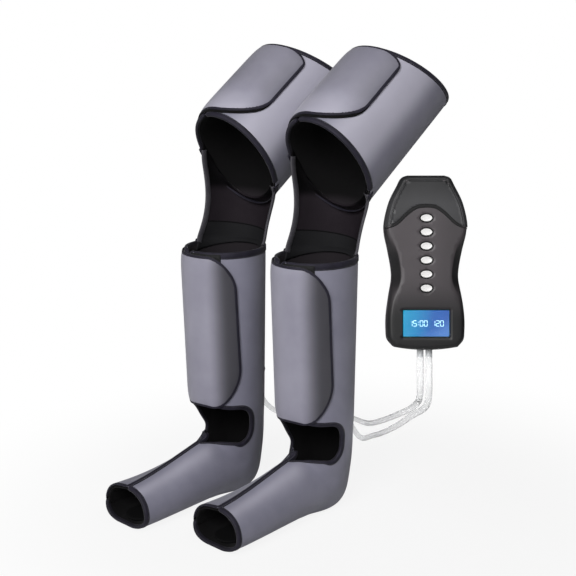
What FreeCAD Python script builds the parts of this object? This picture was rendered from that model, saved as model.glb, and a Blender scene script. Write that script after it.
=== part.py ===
"""Air compression therapy set: two leg wraps, a hand-held pump and the two hoses between them.

Millimetres. +Z up, the toes point to -Y and the wearer's left is +X. The pair is drawn about a point
on the floor midway between the two lower legs, and then moved so that the origin is the middle of
the underside of its box, hoses left out. The handset floats at hand height, carried by its hoses.
"""
import FreeCAD, Part
import math
import os
from FreeCAD import Placement, Rotation, Vector

# ---- stance of the pair --------------------------------------------------------------------
LEG_SPACING = 154.0        # left leg's axis to right leg's axis, along X
LEG_STAGGER = 42.5         # how much further back the left leg stands, along Y

# ---- layers of a wrap, from the outside in --------------------------------------------------
COVER_T = 2.0
BLADDER_T = 3.2
LINER_T = 1.2
LAYER_GAP = 0.3
ZONE_GAP = 8.0             # between two air chambers, and from a chamber to the wrap's edge

# ---- calf sleeve: a cone of ovals, a is half its width and b half its depth ------------------
CALF_TOP_A = 60.5
CALF_TOP_B = 65.8
CALF_TOP_Z = 400.5
CALF_BOTTOM_A = 55.3
CALF_BOTTOM_B = 60.0
CALF_BOTTOM_Z = 149.5
CALF_BOTTOM_Y = 3.0        # the lower oval's centre lies behind the leg's axis
SLIT_ANGLE = -14.0         # the wrap's lengthwise opening, from the front towards +X
SLIT_WIDTH = 8.0           # degrees
CHAMBER_INSET = 9.0        # degrees from the slit to the chambers

# ---- foot ----------------------------------------------------------------------------------
FOOT_TOE_Y = -210.5
FOOT_TOE_HALF_W = 49.0
FOOT_TOE_H = 64.0
FOOT_MID_Y = -130.0
FOOT_MID_HALF_W = 48.5
FOOT_MID_H = 80.0
FOOT_INSTEP_Y = -58.0
FOOT_INSTEP_HALF_W = 46.0
FOOT_INSTEP_H = 100.0
FOOT_ARCH_Y = 0.0
FOOT_ARCH_HALF_W = 47.0
FOOT_ARCH_H = 112.0
FOOT_TOE_PEAK = 0.9        # how narrow the arch of each section is
FOOT_MID_PEAK = 1.15
FOOT_INSTEP_PEAK = 1.35
FOOT_MID_LEAN = 0.6        # how much narrower it is on the -X side
FOOT_INSTEP_LEAN = 0.9
FOOT_ROOF = 12.0           # how far the instep falls away beside its ridge on the -X side
SOLE_SINK = 0.8            # the rounded underside is planed off this much, which makes the flat sole
HEEL_HALF_W = 42.0
HEEL_HALF_L = 53.0
HEEL_Y = 4.0
HEEL_ROUND = 15.0          # how far the heel's lower edge draws in
HEEL_ROUND_H = 20.0
ANKLE_A = 51.0
ANKLE_B = 57.5
ANKLE_Z = 80.0
ANKLE_CUT_BACK_Y = 3.0     # rear edge of the ankle opening
ANKLE_CUT_SIDE_Z = 89.0    # its lower edge at the side
ANKLE_CUT_FRONT_Z = 96.0  # its lower edge over the instep
ANKLE_CUT_R = 18.0
ANKLE_CUT_MEDIAL_R = 40.0  # its upper rear corner on the -X side
ANKLE_CUT_MEDIAL_DROP = 27.0  # how much lower it reaches on the -X side
INSTEP_TOP_Y = -46.0       # where the instep ends on the -X side, behind the seam
INSTEP_TOP_Z = 112.0
FOOT_SEAM_X = 6.0          # where the foot flap ends on the instep
FOOT_FLAP_HINGE_Z = 28.0
FOOT_FLAP_GAP = 0.8
INSOLE_T = 4.0
INSOLE_MARGIN = 6.0

# ---- thigh cuff, in its own frame: z runs from the knee up the thigh -------------------------
KNEE_Y = -9.4
KNEE_Z = 509.7
THIGH_ANGLE = 36.0         # the thigh's axis above the horizontal
THIGH_A = 73.0
THIGH_B = 87.3
THIGH_START = 41.0
THIGH_END = 248.0
RIM_TILT = 2.0             # degrees, the front of the knee end lies further up the thigh
END_TILT = 22.0            # degrees, the front of the top end lies lower down the thigh

# ---- flaps and their hook patches -----------------------------------------------------------
FLAP_T = 2.8
FLAP_GAP = 1.3             # from the sleeve to the flap's inner face
PATCH_T = 0.7
CALF_FLAP_ROOT = -60.0     # degrees from the front towards +X
CALF_FLAP_FREE = 62.0
CALF_FLAP_TOP_DROP = 5.0   # below the sleeve's top rim
CALF_FLAP_LOWER = (40.0, 55.0)  # width and height of its lower free corner
CALF_FLAP_UPPER = (38.0, 45.0)
CALF_PATCH_FROM = -4.0
CALF_PATCH_TO = 41.0
CALF_PATCH_BOTTOM_Z = 175.0
CALF_PATCH_TOP_DROP = 1.0
THIGH_FLAP_ROOT = -50.0
THIGH_FLAP_FREE = 44.0
THIGH_FLAP_START = 58.0
THIGH_FLAP_TOP_DROP = 3.0
THIGH_FLAP_LOWER = (60.0, 74.0)
THIGH_PATCH_FROM = 6.0
THIGH_PATCH_TO = 32.0
THIGH_PATCH_MARGIN = 26.0

# ---- knee panel ----------------------------------------------------------------------------
PANEL_T = 5.0
PANEL_INSET = 1.0          # its outer face lies this far inside the sleeves' outer faces
PANEL_CALF_ANGLES = (126.0, 82.0)   # its free edges on the calf rim, from the front to +X and to -X
PANEL_NECK_ANGLES = (132.0, 94.0)
PANEL_THIGH_ANGLES = (122.0, 80.0)
PANEL_NECK_IN = 4.0

# ---- hose port and elbow on each calf -------------------------------------------------------
PORT_Z = 184.0
PORT_FLANGE_R = 14.0
PORT_FLANGE_T = 2.4
PORT_STEM_R = 5.5
PORT_BORE_R = 3.6
ELBOW_SPIGOT_L = 5.0
ELBOW_R = 7.0
ELBOW_ARM = 17.0
FIT_GAP = 0.3

# ---- hoses ---------------------------------------------------------------------------------
HOSE_R = 4.0
HOSE_DROP = 24.0           # straight run below the handset
HOSE_RISE = 18.5           # straight run below the elbow

# ---- handset, in its own frame: face to -y, z up from the middle of its lower end -----------
HANDSET_H = 205.0
HANDSET_D = 42.0
HANDSET_WALL = 2.2
HANDSET_EDGE = 9.0         # how far the rounded edge draws the face in
HANDSET_PLACE = (426.5, -166.1, 367.5)
HANDSET_YAW = 44.1
HANDSET_TILT = 13.6
TOP_HALF_W = 26.0
SHOULDER_HALF_W = 42.3
SHOULDER_Z = 174.5
WIDEST_HALF_W = 48.1
WIDEST_Z = 149.0
WAIST_HALF_W = 39.3
WAIST_Z = 88.0
BASE_HALF_W = 45.7
BASE_Z = 40.0
BASE_CORNER_W = 37.5
HOOD_Z = 148.0             # lowest point of the hood's edge, at the sides
HOOD_PEAK_Z = 172.0
HOOD_T = 1.2
HOOD_BACK_Y = -5.0         # the hood ends this far in front of the split plane
KEY_A = 6.7
KEY_B = 4.1
KEY_PITCH = 16.5
KEY_FIRST_Z = 73.0
KEY_COUNT = 6
KEY_PROUD = 1.2
KEY_TRAVEL = 1.2
KEY_GAP = 0.35
KEY_LENGTH = 4.6
SCREEN_W = 55.7
SCREEN_H = 32.8
SCREEN_Z = 31.5
WINDOW_T = 1.4
SCREEN_RECESS = 0.3
BOARD_T = 1.6
NOZZLE_X = 5.2
NOZZLE_OUT = 9.0
NOZZLE_R = 4.0
MANIFOLD_Z = 2.9
MANIFOLD_H = 9.7
TUBE_R = 2.0
TUBE_DROP_Y = 2.0
DC_X = 20.0
DC_Y = 8.0
DC_R = 4.2
DC_BORE_R = 2.75
DC_MOUTH_Z = 1.0
DC_LENGTH = 10.0
DC_JACK_Z = 8.0            # where the socket's body begins, above the case's floor
SCREW_R = 1.4
SCREW_HEAD_R = 2.7
SCREW_SINK = 5.0           # from the case's back to the seat of a screw's head
SCREW_L = 26.0
BOSS_R = 3.6
SCREW_X = 32.0
SCREW_LOW_Z = 14.0
SCREW_HIGH_Z = 160.0
PAD_R = 5.0
PAD_T = 1.6
PUMP_W = 40.0
PUMP_D = 22.0
PUMP_H = 30.0
PUMP_Z = 92.0
MOUNT_T = 3.0
MOTOR_R = 10.0
MOTOR_L = 26.0
VALVE_W = 46.0
VALVE_D = 14.0
VALVE_H = 13.0
VALVE_Z = 52.0
COIL_W = 8.0
COIL_H = 12.0


def oval(a, b, z, y=0.0):
    """Closed oval wire, a half-width and b half-depth, at height z."""
    centre = Vector(0, y, z)
    side = Vector(a, y, z)
    back = Vector(0, y + b, z)
    if a > b:
        curve = Part.Ellipse(side, back, centre)
    else:
        curve = Part.Ellipse(back, side, centre)
    return Part.Wire([curve.toShape()])


def wedge(start, end, z0, z1, y=0.0, reach=400.0):
    """Upright prism between two angles, which run from the front (-Y) towards +X."""
    steps = max(2, math.ceil((end - start) / 40.0))
    points = [Vector(0, y, z0)]
    for i in range(steps + 1):
        angle = math.radians(start + (end - start) * i / steps)
        points.append(Vector(reach * math.sin(angle), y - reach * math.cos(angle), z0))
    points.append(points[0])
    return Part.Face(Part.makePolygon(points)).extrude(Vector(0, 0, z1 - z0))


def box(x0, x1, y0, y1, z0, z1):
    return Part.makeBox(x1 - x0, y1 - y0, z1 - z0, Vector(x0, y0, z0))


def rounded_window(u0, u1, z0, z1, corners, angle, reach=400.0):
    """Radial prism whose +u side has two oval corners; u lies across the view from angle.

    corners are (width, height) of the lower and of the upper corner.
    """
    room = 0.96 * (z1 - z0) / (corners[0][1] + corners[1][1])
    (lw, lh), (uw, uh) = [(min(w, 0.9 * (u1 - u0)), h * min(1.0, room)) for w, h in corners]

    def corner(u, z, w, h, start):
        curve = Part.BSplineCurve()
        turns = [math.radians(start + 22.5 * i) for i in range(5)]
        curve.interpolate([Vector(u + w * math.cos(t), 0, z + h * math.sin(t)) for t in turns])
        return curve

    edges = [
        Part.LineSegment(Vector(u0, 0, z0), Vector(u1 - lw, 0, z0)),
        corner(u1 - lw, z0 + lh, lw, lh, -90.0),
        Part.LineSegment(Vector(u1, 0, z0 + lh), Vector(u1, 0, z1 - uh)),
        corner(u1 - uw, z1 - uh, uw, uh, 0.0),
        Part.LineSegment(Vector(u1 - uw, 0, z1), Vector(u0, 0, z1)),
        Part.LineSegment(Vector(u0, 0, z1), Vector(u0, 0, z0)),
    ]
    face = Part.Face(Part.Wire([edge.toShape() for edge in edges]))
    prism = face.extrude(Vector(0, -reach, 0))
    prism.rotate(Vector(0, 0, 0), Vector(0, 0, 1), angle)
    return prism


# ---- calf ------------------------------------------------------------------------------------
def calf_size(z):
    """Half-width, half-depth and centre y of the calf's outer face at height z."""
    t = (z - CALF_BOTTOM_Z) / (CALF_TOP_Z - CALF_BOTTOM_Z)
    a = CALF_BOTTOM_A + t * (CALF_TOP_A - CALF_BOTTOM_A)
    b = CALF_BOTTOM_B + t * (CALF_TOP_B - CALF_BOTTOM_B)
    return a, b, CALF_BOTTOM_Y * (1.0 - t)


def calf_core(inset, z0, z1):
    rings = []
    for z in (z0, z1):
        a, b, y = calf_size(z)
        rings.append(oval(a - inset, b - inset, z, y))
    return Part.makeLoft(rings, True, True)


def calf_layer(outer, inner, z0, z1, start, end):
    ring = calf_core(outer, z0, z1).cut(calf_core(inner, z0, z1))
    return ring.common(wedge(start, end, z0 - 1.0, z1 + 1.0))


def slit_angles(margin=0.0):
    half = SLIT_WIDTH / 2.0 + margin
    return SLIT_ANGLE + half, SLIT_ANGLE - half + 360.0


def layer_insets():
    """Outer and inner inset of the cover, the air chambers and the liner."""
    bladder = COVER_T + LAYER_GAP
    liner = bladder + BLADDER_T + LAYER_GAP
    return (0.0, COVER_T), (bladder, bladder + BLADDER_T), (liner, liner + LINER_T)


def calf_wrap():
    cover, bladder, liner = layer_insets()
    start, end = slit_angles()
    hole = Part.makeCylinder(PORT_STEM_R + FIT_GAP, 60.0, Vector(0, 20.0, PORT_Z), Vector(0, 1, 0))
    sleeve = calf_layer(*cover, CALF_BOTTOM_Z, CALF_TOP_Z, start, end).cut(hole)
    inside = calf_layer(*liner, CALF_BOTTOM_Z, CALF_TOP_Z, start, end)
    middle = (CALF_BOTTOM_Z + CALF_TOP_Z) / 2.0
    zones = ((CALF_BOTTOM_Z + ZONE_GAP, middle - ZONE_GAP / 2.0),
             (middle + ZONE_GAP / 2.0, CALF_TOP_Z - ZONE_GAP))
    start, end = slit_angles(CHAMBER_INSET)
    chambers = [calf_layer(*bladder, z0, z1, start, end).cut(hole) for z0, z1 in zones]
    return {"calf_cover": sleeve, "calf_chambers": Part.makeCompound(chambers),
            "calf_liner": inside}


def calf_flap():
    z0 = CALF_BOTTOM_Z
    z1 = CALF_TOP_Z - CALF_FLAP_TOP_DROP
    flap = calf_layer(-FLAP_GAP - FLAP_T, -FLAP_GAP, z0, z1, CALF_FLAP_ROOT, CALF_FLAP_FREE)
    middle = (CALF_FLAP_ROOT + CALF_FLAP_FREE) / 2.0
    free = (CALF_TOP_A + FLAP_GAP) * math.sin(math.radians(CALF_FLAP_FREE - middle))
    corners = (CALF_FLAP_LOWER, CALF_FLAP_UPPER)
    return flap.common(rounded_window(-150.0, free, z0, z1, corners, middle))


def calf_patch():
    return calf_layer(-LAYER_GAP - PATCH_T, -LAYER_GAP, CALF_PATCH_BOTTOM_Z,
                      CALF_TOP_Z - CALF_PATCH_TOP_DROP, CALF_PATCH_FROM, CALF_PATCH_TO)


# ---- foot ------------------------------------------------------------------------------------
def foot_ring(y, half_w, height, inset, peak, lean, roof):
    """Upright closed section of the foot: arched above, flat below and rounded off on the +X side.

    roof is how far the arch falls away on the -X side of its ridge.
    """
    points = []
    count = 16
    w = half_w - inset
    low = inset - SOLE_SINK
    rise = height - inset - low
    for i in range(count):
        angle = 2.0 * math.pi * i / count
        c = math.cos(angle)
        s = math.sin(angle)
        rounded = s < 0 and c > 0
        x = w * math.copysign(abs(c) ** (0.95 if rounded else 0.8), c)
        if s > 0:
            z = 0.4 + 0.6 * s ** (peak + (lean if c < 0 else 0.0))
            if c < -0.01:
                z -= roof * math.sin(math.pi * min(1.0, -x / w / 0.87) ** 0.7) / rise
        else:
            z = 0.4 - 0.4 * abs(s) ** (0.95 if rounded else 0.55)
        points.append(Vector(x, y, low + rise * z))
    curve = Part.BSplineCurve()
    curve.interpolate(points, PeriodicFlag=True)
    return Part.Wire([curve.toShape()])


def foot_core(inset):
    """Solid of the foot up to the ankle, drawn in by inset."""
    toe_y = FOOT_TOE_Y - 1.0
    rings = [
        foot_ring(toe_y, FOOT_TOE_HALF_W, FOOT_TOE_H, inset, FOOT_TOE_PEAK, 0.0, 0.0),
        foot_ring(FOOT_MID_Y, FOOT_MID_HALF_W, FOOT_MID_H, inset, FOOT_MID_PEAK, FOOT_MID_LEAN,
                  FOOT_ROOF),
        foot_ring(FOOT_INSTEP_Y, FOOT_INSTEP_HALF_W, FOOT_INSTEP_H, inset, FOOT_INSTEP_PEAK,
                  FOOT_INSTEP_LEAN, FOOT_ROOF),
        foot_ring(FOOT_ARCH_Y, FOOT_ARCH_HALF_W, FOOT_ARCH_H, inset, FOOT_INSTEP_PEAK,
                  FOOT_MID_LEAN, FOOT_ROOF * 0.7),
    ]
    front = Part.makeLoft(rings, True, False)
    ankle = Part.makeLoft([
        oval(HEEL_HALF_W - inset - HEEL_ROUND, HEEL_HALF_L - inset - HEEL_ROUND, inset, HEEL_Y),
        oval(HEEL_HALF_W - inset, HEEL_HALF_L - inset, inset + HEEL_ROUND_H, HEEL_Y),
        oval(ANKLE_A - inset, ANKLE_B - inset, ANKLE_Z, HEEL_Y),
        oval(CALF_BOTTOM_A - inset, CALF_BOTTOM_B - inset, CALF_BOTTOM_Z, CALF_BOTTOM_Y),
    ], True, True)
    below = box(-100.0, 100.0, FOOT_TOE_Y - 50.0, 150.0, inset - 20.0, inset)
    return front.fuse(ankle).cut(below)


def quarter(centre, ry, rz, start):
    """Quarter of an oval in the YZ plane round centre, ry by rz, from the angle start in degrees."""
    curve = Part.BSplineCurve()
    turns = [math.radians(start + 22.5 * i) for i in range(5)]
    curve.interpolate([centre + Vector(0, ry * math.sin(t), rz * math.cos(t)) for t in turns])
    return curve


def ankle_prism(x0, x1, upper_r, lower_r, instep):
    """Prism from x0 to x1 over the ankle's front; instep holds its lower edge's (y, z) points."""
    back = ANKLE_CUT_BACK_Y
    low = ANKLE_CUT_SIDE_Z
    top = CALF_BOTTOM_Z
    front = FOOT_INSTEP_Y - 30.0
    room = 0.96 * (top - low)
    upper = min(upper_r, room * upper_r / (upper_r + lower_r))
    lower = min(lower_r, room * lower_r / (upper_r + lower_r))
    points = [Vector(0, back - lower, low)] + [Vector(0, y, z) for y, z in instep]
    points += [Vector(0, front, instep[-1][1]), Vector(0, front, top), Vector(0, back - upper, top)]
    edges = [Part.LineSegment(p, q) for p, q in zip(points, points[1:])]
    edges.append(quarter(Vector(0, back - upper, top - upper), upper, upper, 0.0))
    edges.append(Part.LineSegment(Vector(0, back, top - upper), Vector(0, back, low + lower)))
    edges.append(quarter(Vector(0, back - lower, low + lower), lower, lower, 90.0))
    face = Part.Face(Part.Wire([edge.toShape() for edge in edges]))
    prism = face.extrude(Vector(x1 - x0, 0, 0))
    prism.translate(Vector(x0, 0, 0))
    return prism


def ankle_cut():
    """Opens the ankle's front; on the -X side the instep reaches further back and up."""
    outer = ankle_prism(FOOT_SEAM_X, 100.0, ANKLE_CUT_R, ANKLE_CUT_R,
                        [(FOOT_INSTEP_Y, ANKLE_CUT_FRONT_Z)])
    medial = ankle_prism(-100.0, FOOT_SEAM_X, ANKLE_CUT_MEDIAL_R, ANKLE_CUT_R,
                         [(INSTEP_TOP_Y + 6.0, ANKLE_CUT_FRONT_Z + 4.0), (INSTEP_TOP_Y, INSTEP_TOP_Z)])
    side = ANKLE_CUT_SIDE_Z - ANKLE_CUT_MEDIAL_DROP
    slope = [(-100.0, side), (-44.0, side), (-20.0, side + 22.0), (-4.0, side + 38.0),
             (FOOT_SEAM_X, side + 52.0), (FOOT_SEAM_X, CALF_BOTTOM_Z), (-100.0, CALF_BOTTOM_Z)]
    wire = Part.makePolygon([Vector(x, 0, z) for x, z in slope + slope[:1]])
    notch = Part.Face(wire).extrude(Vector(0, 85.0, 0))
    notch.translate(Vector(0, -100.0, 0))
    return outer.fuse(medial).fuse(notch)


def foot_layer(outer, inner):
    shell = foot_core(outer).cut(foot_core(inner))
    toes = box(-100.0, 100.0, FOOT_TOE_Y - 50.0, FOOT_TOE_Y, -10.0, 150.0)
    return shell.cut(toes).cut(ankle_cut())


def foot_flap_window(gap=0.0):
    """The stretch of the foot's cover that lifts as a flap, from the seam to the -X side."""
    return box(-100.0, FOOT_SEAM_X - gap, FOOT_TOE_Y - 10.0, INSTEP_TOP_Y - gap,
               FOOT_FLAP_HINGE_Z + gap, 150.0)


def largest(shape):
    return max(shape.Solids, key=lambda solid: solid.Volume)


def foot_wrap():
    cover, bladder, liner = layer_insets()
    skin = foot_layer(*cover)
    lining = foot_layer(*liner)
    # The chamber arches over the instep and the sides, clear of the sole and the edges.
    window = box(-100.0, 100.0, FOOT_TOE_Y + ZONE_GAP, FOOT_INSTEP_Y - ZONE_GAP,
                 FOOT_FLAP_HINGE_Z - ZONE_GAP, 150.0)
    chamber = foot_layer(*bladder).common(window)
    low = liner[1] + LAYER_GAP
    slab = box(-100.0, 100.0, FOOT_TOE_Y + INSOLE_MARGIN, 100.0, low, low + INSOLE_T)
    pad = foot_core(liner[1] + LAYER_GAP).common(slab).common(insole_outline())
    return {"foot_cover": largest(skin.cut(foot_flap_window())),
            "foot_flap": largest(skin.common(foot_flap_window(FOOT_FLAP_GAP))),
            "foot_chamber": largest(chamber), "foot_liner": largest(lining),
            "insole": largest(pad)}


def insole_outline():
    """Upright prism of the sole's outline, well inside the lining."""
    half = min(FOOT_TOE_HALF_W, HEEL_HALF_W) - COVER_T - BLADDER_T - LINER_T - INSOLE_MARGIN
    heel = HEEL_Y + HEEL_HALF_L - HEEL_ROUND - half - INSOLE_MARGIN
    toe = FOOT_TOE_Y + INSOLE_MARGIN + half
    body = box(-half, half, toe, heel, 0.0, 60.0)
    body = body.fuse(Part.makeCylinder(half, 60.0, Vector(0, toe, 0)))
    return body.fuse(Part.makeCylinder(half, 60.0, Vector(0, heel, 0)))


# ---- thigh -----------------------------------------------------------------------------------
def thigh_placement():
    """From the thigh's own frame into the leg's."""
    return Placement(Vector(0, KNEE_Y, KNEE_Z), Rotation(Vector(1, 0, 0), THIGH_ANGLE - 90.0))


def rim_half_space():
    """Everything on the knee's side of the slanted rim."""
    block = box(-200.0, 200.0, -200.0, 200.0, THIGH_START - 200.0, THIGH_START)
    block.rotate(Vector(0, 0, THIGH_START), Vector(1, 0, 0), -RIM_TILT)
    return block


def end_half_space(drop):
    """Everything above the slanted top end, or above a parallel plane that lies drop lower."""
    z = THIGH_END - drop
    block = box(-200.0, 200.0, -200.0, 200.0, z, z + 200.0)
    block.rotate(Vector(0, 0, z), Vector(1, 0, 0), END_TILT)
    return block


def thigh_layer(outer, inner, z0, z1, start, end):
    big = Part.makeLoft([oval(THIGH_A - outer, THIGH_B - outer, z) for z in (z0, z1)], True, True)
    small = Part.makeLoft([oval(THIGH_A - inner, THIGH_B - inner, z) for z in (z0, z1)], True, True)
    return big.cut(small).common(wedge(start, end, z0 - 1.0, z1 + 1.0))


def thigh_wrap():
    cover, bladder, liner = layer_insets()
    start, end = slit_angles()
    low = THIGH_START - 20.0
    high = THIGH_END + THIGH_B * math.tan(math.radians(END_TILT)) + 10.0
    ends = [rim_half_space(), end_half_space(0.0)]
    skin = thigh_layer(*cover, low, high, start, end).cut(ends)
    lining = thigh_layer(*liner, low, high, start, end).cut(ends)
    first = THIGH_START + THIGH_B * math.sin(math.radians(RIM_TILT)) + ZONE_GAP
    middle = (first + THIGH_END) / 2.0
    zones = ((first, middle - ZONE_GAP / 2.0), (middle + ZONE_GAP / 2.0, high))
    start, end = slit_angles(CHAMBER_INSET)
    top = end_half_space(ZONE_GAP)
    chambers = [thigh_layer(*bladder, z0, z1, start, end).cut(top) for z0, z1 in zones]
    return {"thigh_cover": skin, "thigh_chambers": Part.makeCompound(chambers),
            "thigh_liner": lining}


def thigh_flap():
    z0 = THIGH_FLAP_START
    z1 = THIGH_END
    flap = thigh_layer(-FLAP_GAP - FLAP_T, -FLAP_GAP, z0, z1, THIGH_FLAP_ROOT, THIGH_FLAP_FREE)
    middle = (THIGH_FLAP_ROOT + THIGH_FLAP_FREE) / 2.0
    turn = math.radians(THIGH_FLAP_FREE)
    reach = 1.0 / math.hypot(math.sin(turn) / THIGH_A, math.cos(turn) / THIGH_B)
    free = (reach + FLAP_GAP) * math.sin(math.radians(THIGH_FLAP_FREE - middle))
    flap = flap.cut(end_half_space(THIGH_FLAP_TOP_DROP))
    corners = (THIGH_FLAP_LOWER, THIGH_FLAP_LOWER)
    return flap.common(rounded_window(-150.0, free, z0, z1 + THIGH_B, corners, middle))


def thigh_patch():
    patch = thigh_layer(-LAYER_GAP - PATCH_T, -LAYER_GAP, THIGH_FLAP_START + THIGH_PATCH_MARGIN,
                        THIGH_END, THIGH_PATCH_FROM, THIGH_PATCH_TO)
    return patch.cut(end_half_space(THIGH_PATCH_MARGIN))


# ---- knee panel ------------------------------------------------------------------------------
def sector_wire(place, angles, outer, inner):
    """Closed wire of a C-shaped band round the back of an oval, in the frame of place.

    outer and inner are (a, b) half-axes; angles are its ends on the +X and on the -X side.
    """
    def bow(axes, path):
        curve = Part.BSplineCurve()
        points = []
        for angle in path:
            t = math.radians(angle)
            local = Vector(axes[0] * math.sin(t), -axes[1] * math.cos(t), 0)
            points.append(place.multVec(local))
        curve.interpolate(points)
        return curve.toShape(), points[0], points[-1]

    count = 12
    turns = [angles[0] + (360.0 - angles[0] - angles[1]) * i / count for i in range(count + 1)]
    far, far_start, far_end = bow(outer, turns)
    near, near_start, near_end = bow(inner, turns[::-1])
    return Part.Wire([far, Part.makeLine(far_end, near_start), near,
                      Part.makeLine(near_end, far_start)])


def knee_panel():
    """Elastic panel round the back of the knee, from the calf's rim to the thigh's."""
    lower = Placement(Vector(0, 0, CALF_TOP_Z), Rotation())
    rim = Placement(Vector(0, 0, THIGH_START), Rotation(Vector(1, 0, 0), -RIM_TILT))
    upper = thigh_placement().multiply(rim)
    centre = (upper.Base + lower.Base) * 0.5
    neck = Placement(centre, Rotation(Vector(1, 0, 0), (THIGH_ANGLE - 90.0) / 2.0))

    def band(place, angles, a, b):
        outer = (a - PANEL_INSET, b - PANEL_INSET)
        inner = (outer[0] - PANEL_T, outer[1] - PANEL_T)
        return sector_wire(place, angles, outer, inner)

    neck_a = (CALF_TOP_A + THIGH_A) / 2.0 - PANEL_NECK_IN
    neck_b = (CALF_TOP_B + THIGH_B) / 2.0 - PANEL_NECK_IN
    return Part.makeLoft([band(lower, PANEL_CALF_ANGLES, CALF_TOP_A, CALF_TOP_B),
                          band(neck, PANEL_NECK_ANGLES, neck_a, neck_b),
                          band(upper, PANEL_THIGH_ANGLES, THIGH_A, THIGH_B)], True, True)


# ---- hose port -------------------------------------------------------------------------------
def port_face_y():
    """y of the port's outer face, at the calf's back."""
    a, b, y = calf_size(PORT_Z)
    return y + b + PORT_FLANGE_T


def hose_port():
    face = port_face_y()
    a, b, y = calf_size(PORT_Z)
    along = Vector(0, 1, 0)
    base = y + b - PORT_FLANGE_R ** 2 / a
    flange = Part.makeCylinder(PORT_FLANGE_R, face - base, Vector(0, base, PORT_Z), along)
    flange = flange.cut(calf_core(-0.02, PORT_Z - 40.0, PORT_Z + 40.0))
    inner = y + b - COVER_T - LAYER_GAP - BLADDER_T / 2.0
    stem = Part.makeCylinder(PORT_STEM_R, face - inner, Vector(0, inner, PORT_Z), along)
    bore = Part.makeCylinder(PORT_BORE_R, face - inner, Vector(0, inner, PORT_Z), along)
    return largest(flange).fuse(stem).cut(bore).removeSplitter()


def elbow():
    """Elbow plug: a spigot in the port's bore and an arm that points down to the hose."""
    face = port_face_y()
    axis_y = face + ELBOW_R
    along = Vector(0, 1, 0)
    spigot = Part.makeCylinder(PORT_BORE_R - FIT_GAP, ELBOW_SPIGOT_L + ELBOW_R,
                               Vector(0, face - ELBOW_SPIGOT_L, PORT_Z), along)
    knob = Part.makeCylinder(ELBOW_R, 2.0 * ELBOW_R, Vector(0, face, PORT_Z), along)
    arm = Part.makeCylinder(HOSE_R + 1.6, ELBOW_ARM, Vector(0, axis_y, PORT_Z - ELBOW_ARM))
    return spigot.fuse([knob, arm]).removeSplitter()


# ---- hoses -----------------------------------------------------------------------------------
def handset_placement():
    turn = Rotation(Vector(0, 0, 1), HANDSET_YAW)
    lean = Rotation(Vector(1, 0, 0), -HANDSET_TILT)
    return Placement(Vector(*HANDSET_PLACE), turn.multiply(lean))


def elbow_end(side):
    """Lower end of a leg's elbow arm; side is +1 for the left leg and -1 for the right."""
    x = side * LEG_SPACING / 2.0
    y = side * LEG_STAGGER / 2.0 + port_face_y() + ELBOW_R
    return Vector(x, y, PORT_Z - ELBOW_ARM)


def tube(points, radius, name):
    """Round tube along straight runs joined by tangent arcs; prints its radii and length."""
    edges = []
    radii = []
    start = points[0]
    for i in range(1, len(points) - 1):
        before = points[i] - points[i - 1]
        after = points[i + 1] - points[i]
        turn = before.getAngle(after)
        trim = 0.45 * min(before.Length, after.Length)
        r = trim / math.tan(turn / 2.0)
        radii.append(r)
        to_next = Vector(after).normalize()
        to_last = Vector(before).normalize()
        first = points[i] - to_last * trim
        last = points[i] + to_next * trim
        bisector = (to_next - to_last).normalize()
        middle = points[i] + bisector * (r / math.cos(turn / 2.0) - r)
        edges.append(Part.makeLine(start, first))
        edges.append(Part.Arc(first, middle, last).toShape())
        start = last
    edges.append(Part.makeLine(start, points[-1]))
    path = Part.Wire(edges)
    heading = points[1] - points[0]
    ring = Part.Wire([Part.makeCircle(radius, points[0], heading)])
    solid = path.makePipeShell([ring], True, False)
    expected = math.pi * radius ** 2 * path.Length
    print(name, "length", round(path.Length, 1), "volume / expected", round(solid.Volume / expected, 4),
          "radii", [round(r) for r in radii])
    return solid


def hose_route(side):
    """Route of one hose, from its nozzle to its elbow."""
    place = handset_placement()
    nozzle = place.multVec(Vector(side * NOZZLE_X, 0, -NOZZLE_OUT))
    below = place.multVec(Vector(side * NOZZLE_X, 0, -NOZZLE_OUT - HOSE_DROP))
    end = elbow_end(side)
    if side > 0:
        middle = [(433, -163, 314), (422, -151, 293), (402, -135, 277), (368, -110, 256),
                  (322, -76, 224), (290, -52, 203), (228, -4, 165), (173, 42, 135),
                  (141, 65, 116), (116, 82, 106), (95, 91, 112), (81, 94, 128)]
    else:
        middle = [(425, -170, 316), (414, -157, 299), (394, -136, 284), (363, -110, 262),
                  (318, -78, 236), (258, -30, 201), (186, 25, 162), (128, 76, 136),
                  (74, 114, 120), (22, 112, 113), (-24, 88, 107), (-52, 69, 109), (-71, 57, 125)]
    points = [nozzle, below] + [Vector(*p) for p in middle]
    return points + [end - Vector(0, 0, HOSE_RISE), end]


# ---- handset ---------------------------------------------------------------------------------
def side_points(inset):
    """Half outline of the handset from its base up, drawn in by inset."""
    shrink = (HANDSET_H - 2.0 * inset) / HANDSET_H
    points = [
        (BASE_CORNER_W, 3.6), (BASE_HALF_W - 1.4, 12.0), (BASE_HALF_W, 24.0),
        (BASE_HALF_W - 0.2, BASE_Z), ((BASE_HALF_W + WAIST_HALF_W) / 2.0, 64.0),
        (WAIST_HALF_W, WAIST_Z), ((WIDEST_HALF_W + WAIST_HALF_W) / 2.0, 118.0),
        (WIDEST_HALF_W - 0.6, WIDEST_Z - 12.0), (WIDEST_HALF_W, WIDEST_Z),
        (SHOULDER_HALF_W, SHOULDER_Z), (TOP_HALF_W + 7.0, HANDSET_H - 11.5),
        (TOP_HALF_W + 2.0, HANDSET_H - 2.5),
    ]
    return [(x - inset, inset + z * shrink) for x, z in points]


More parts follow.
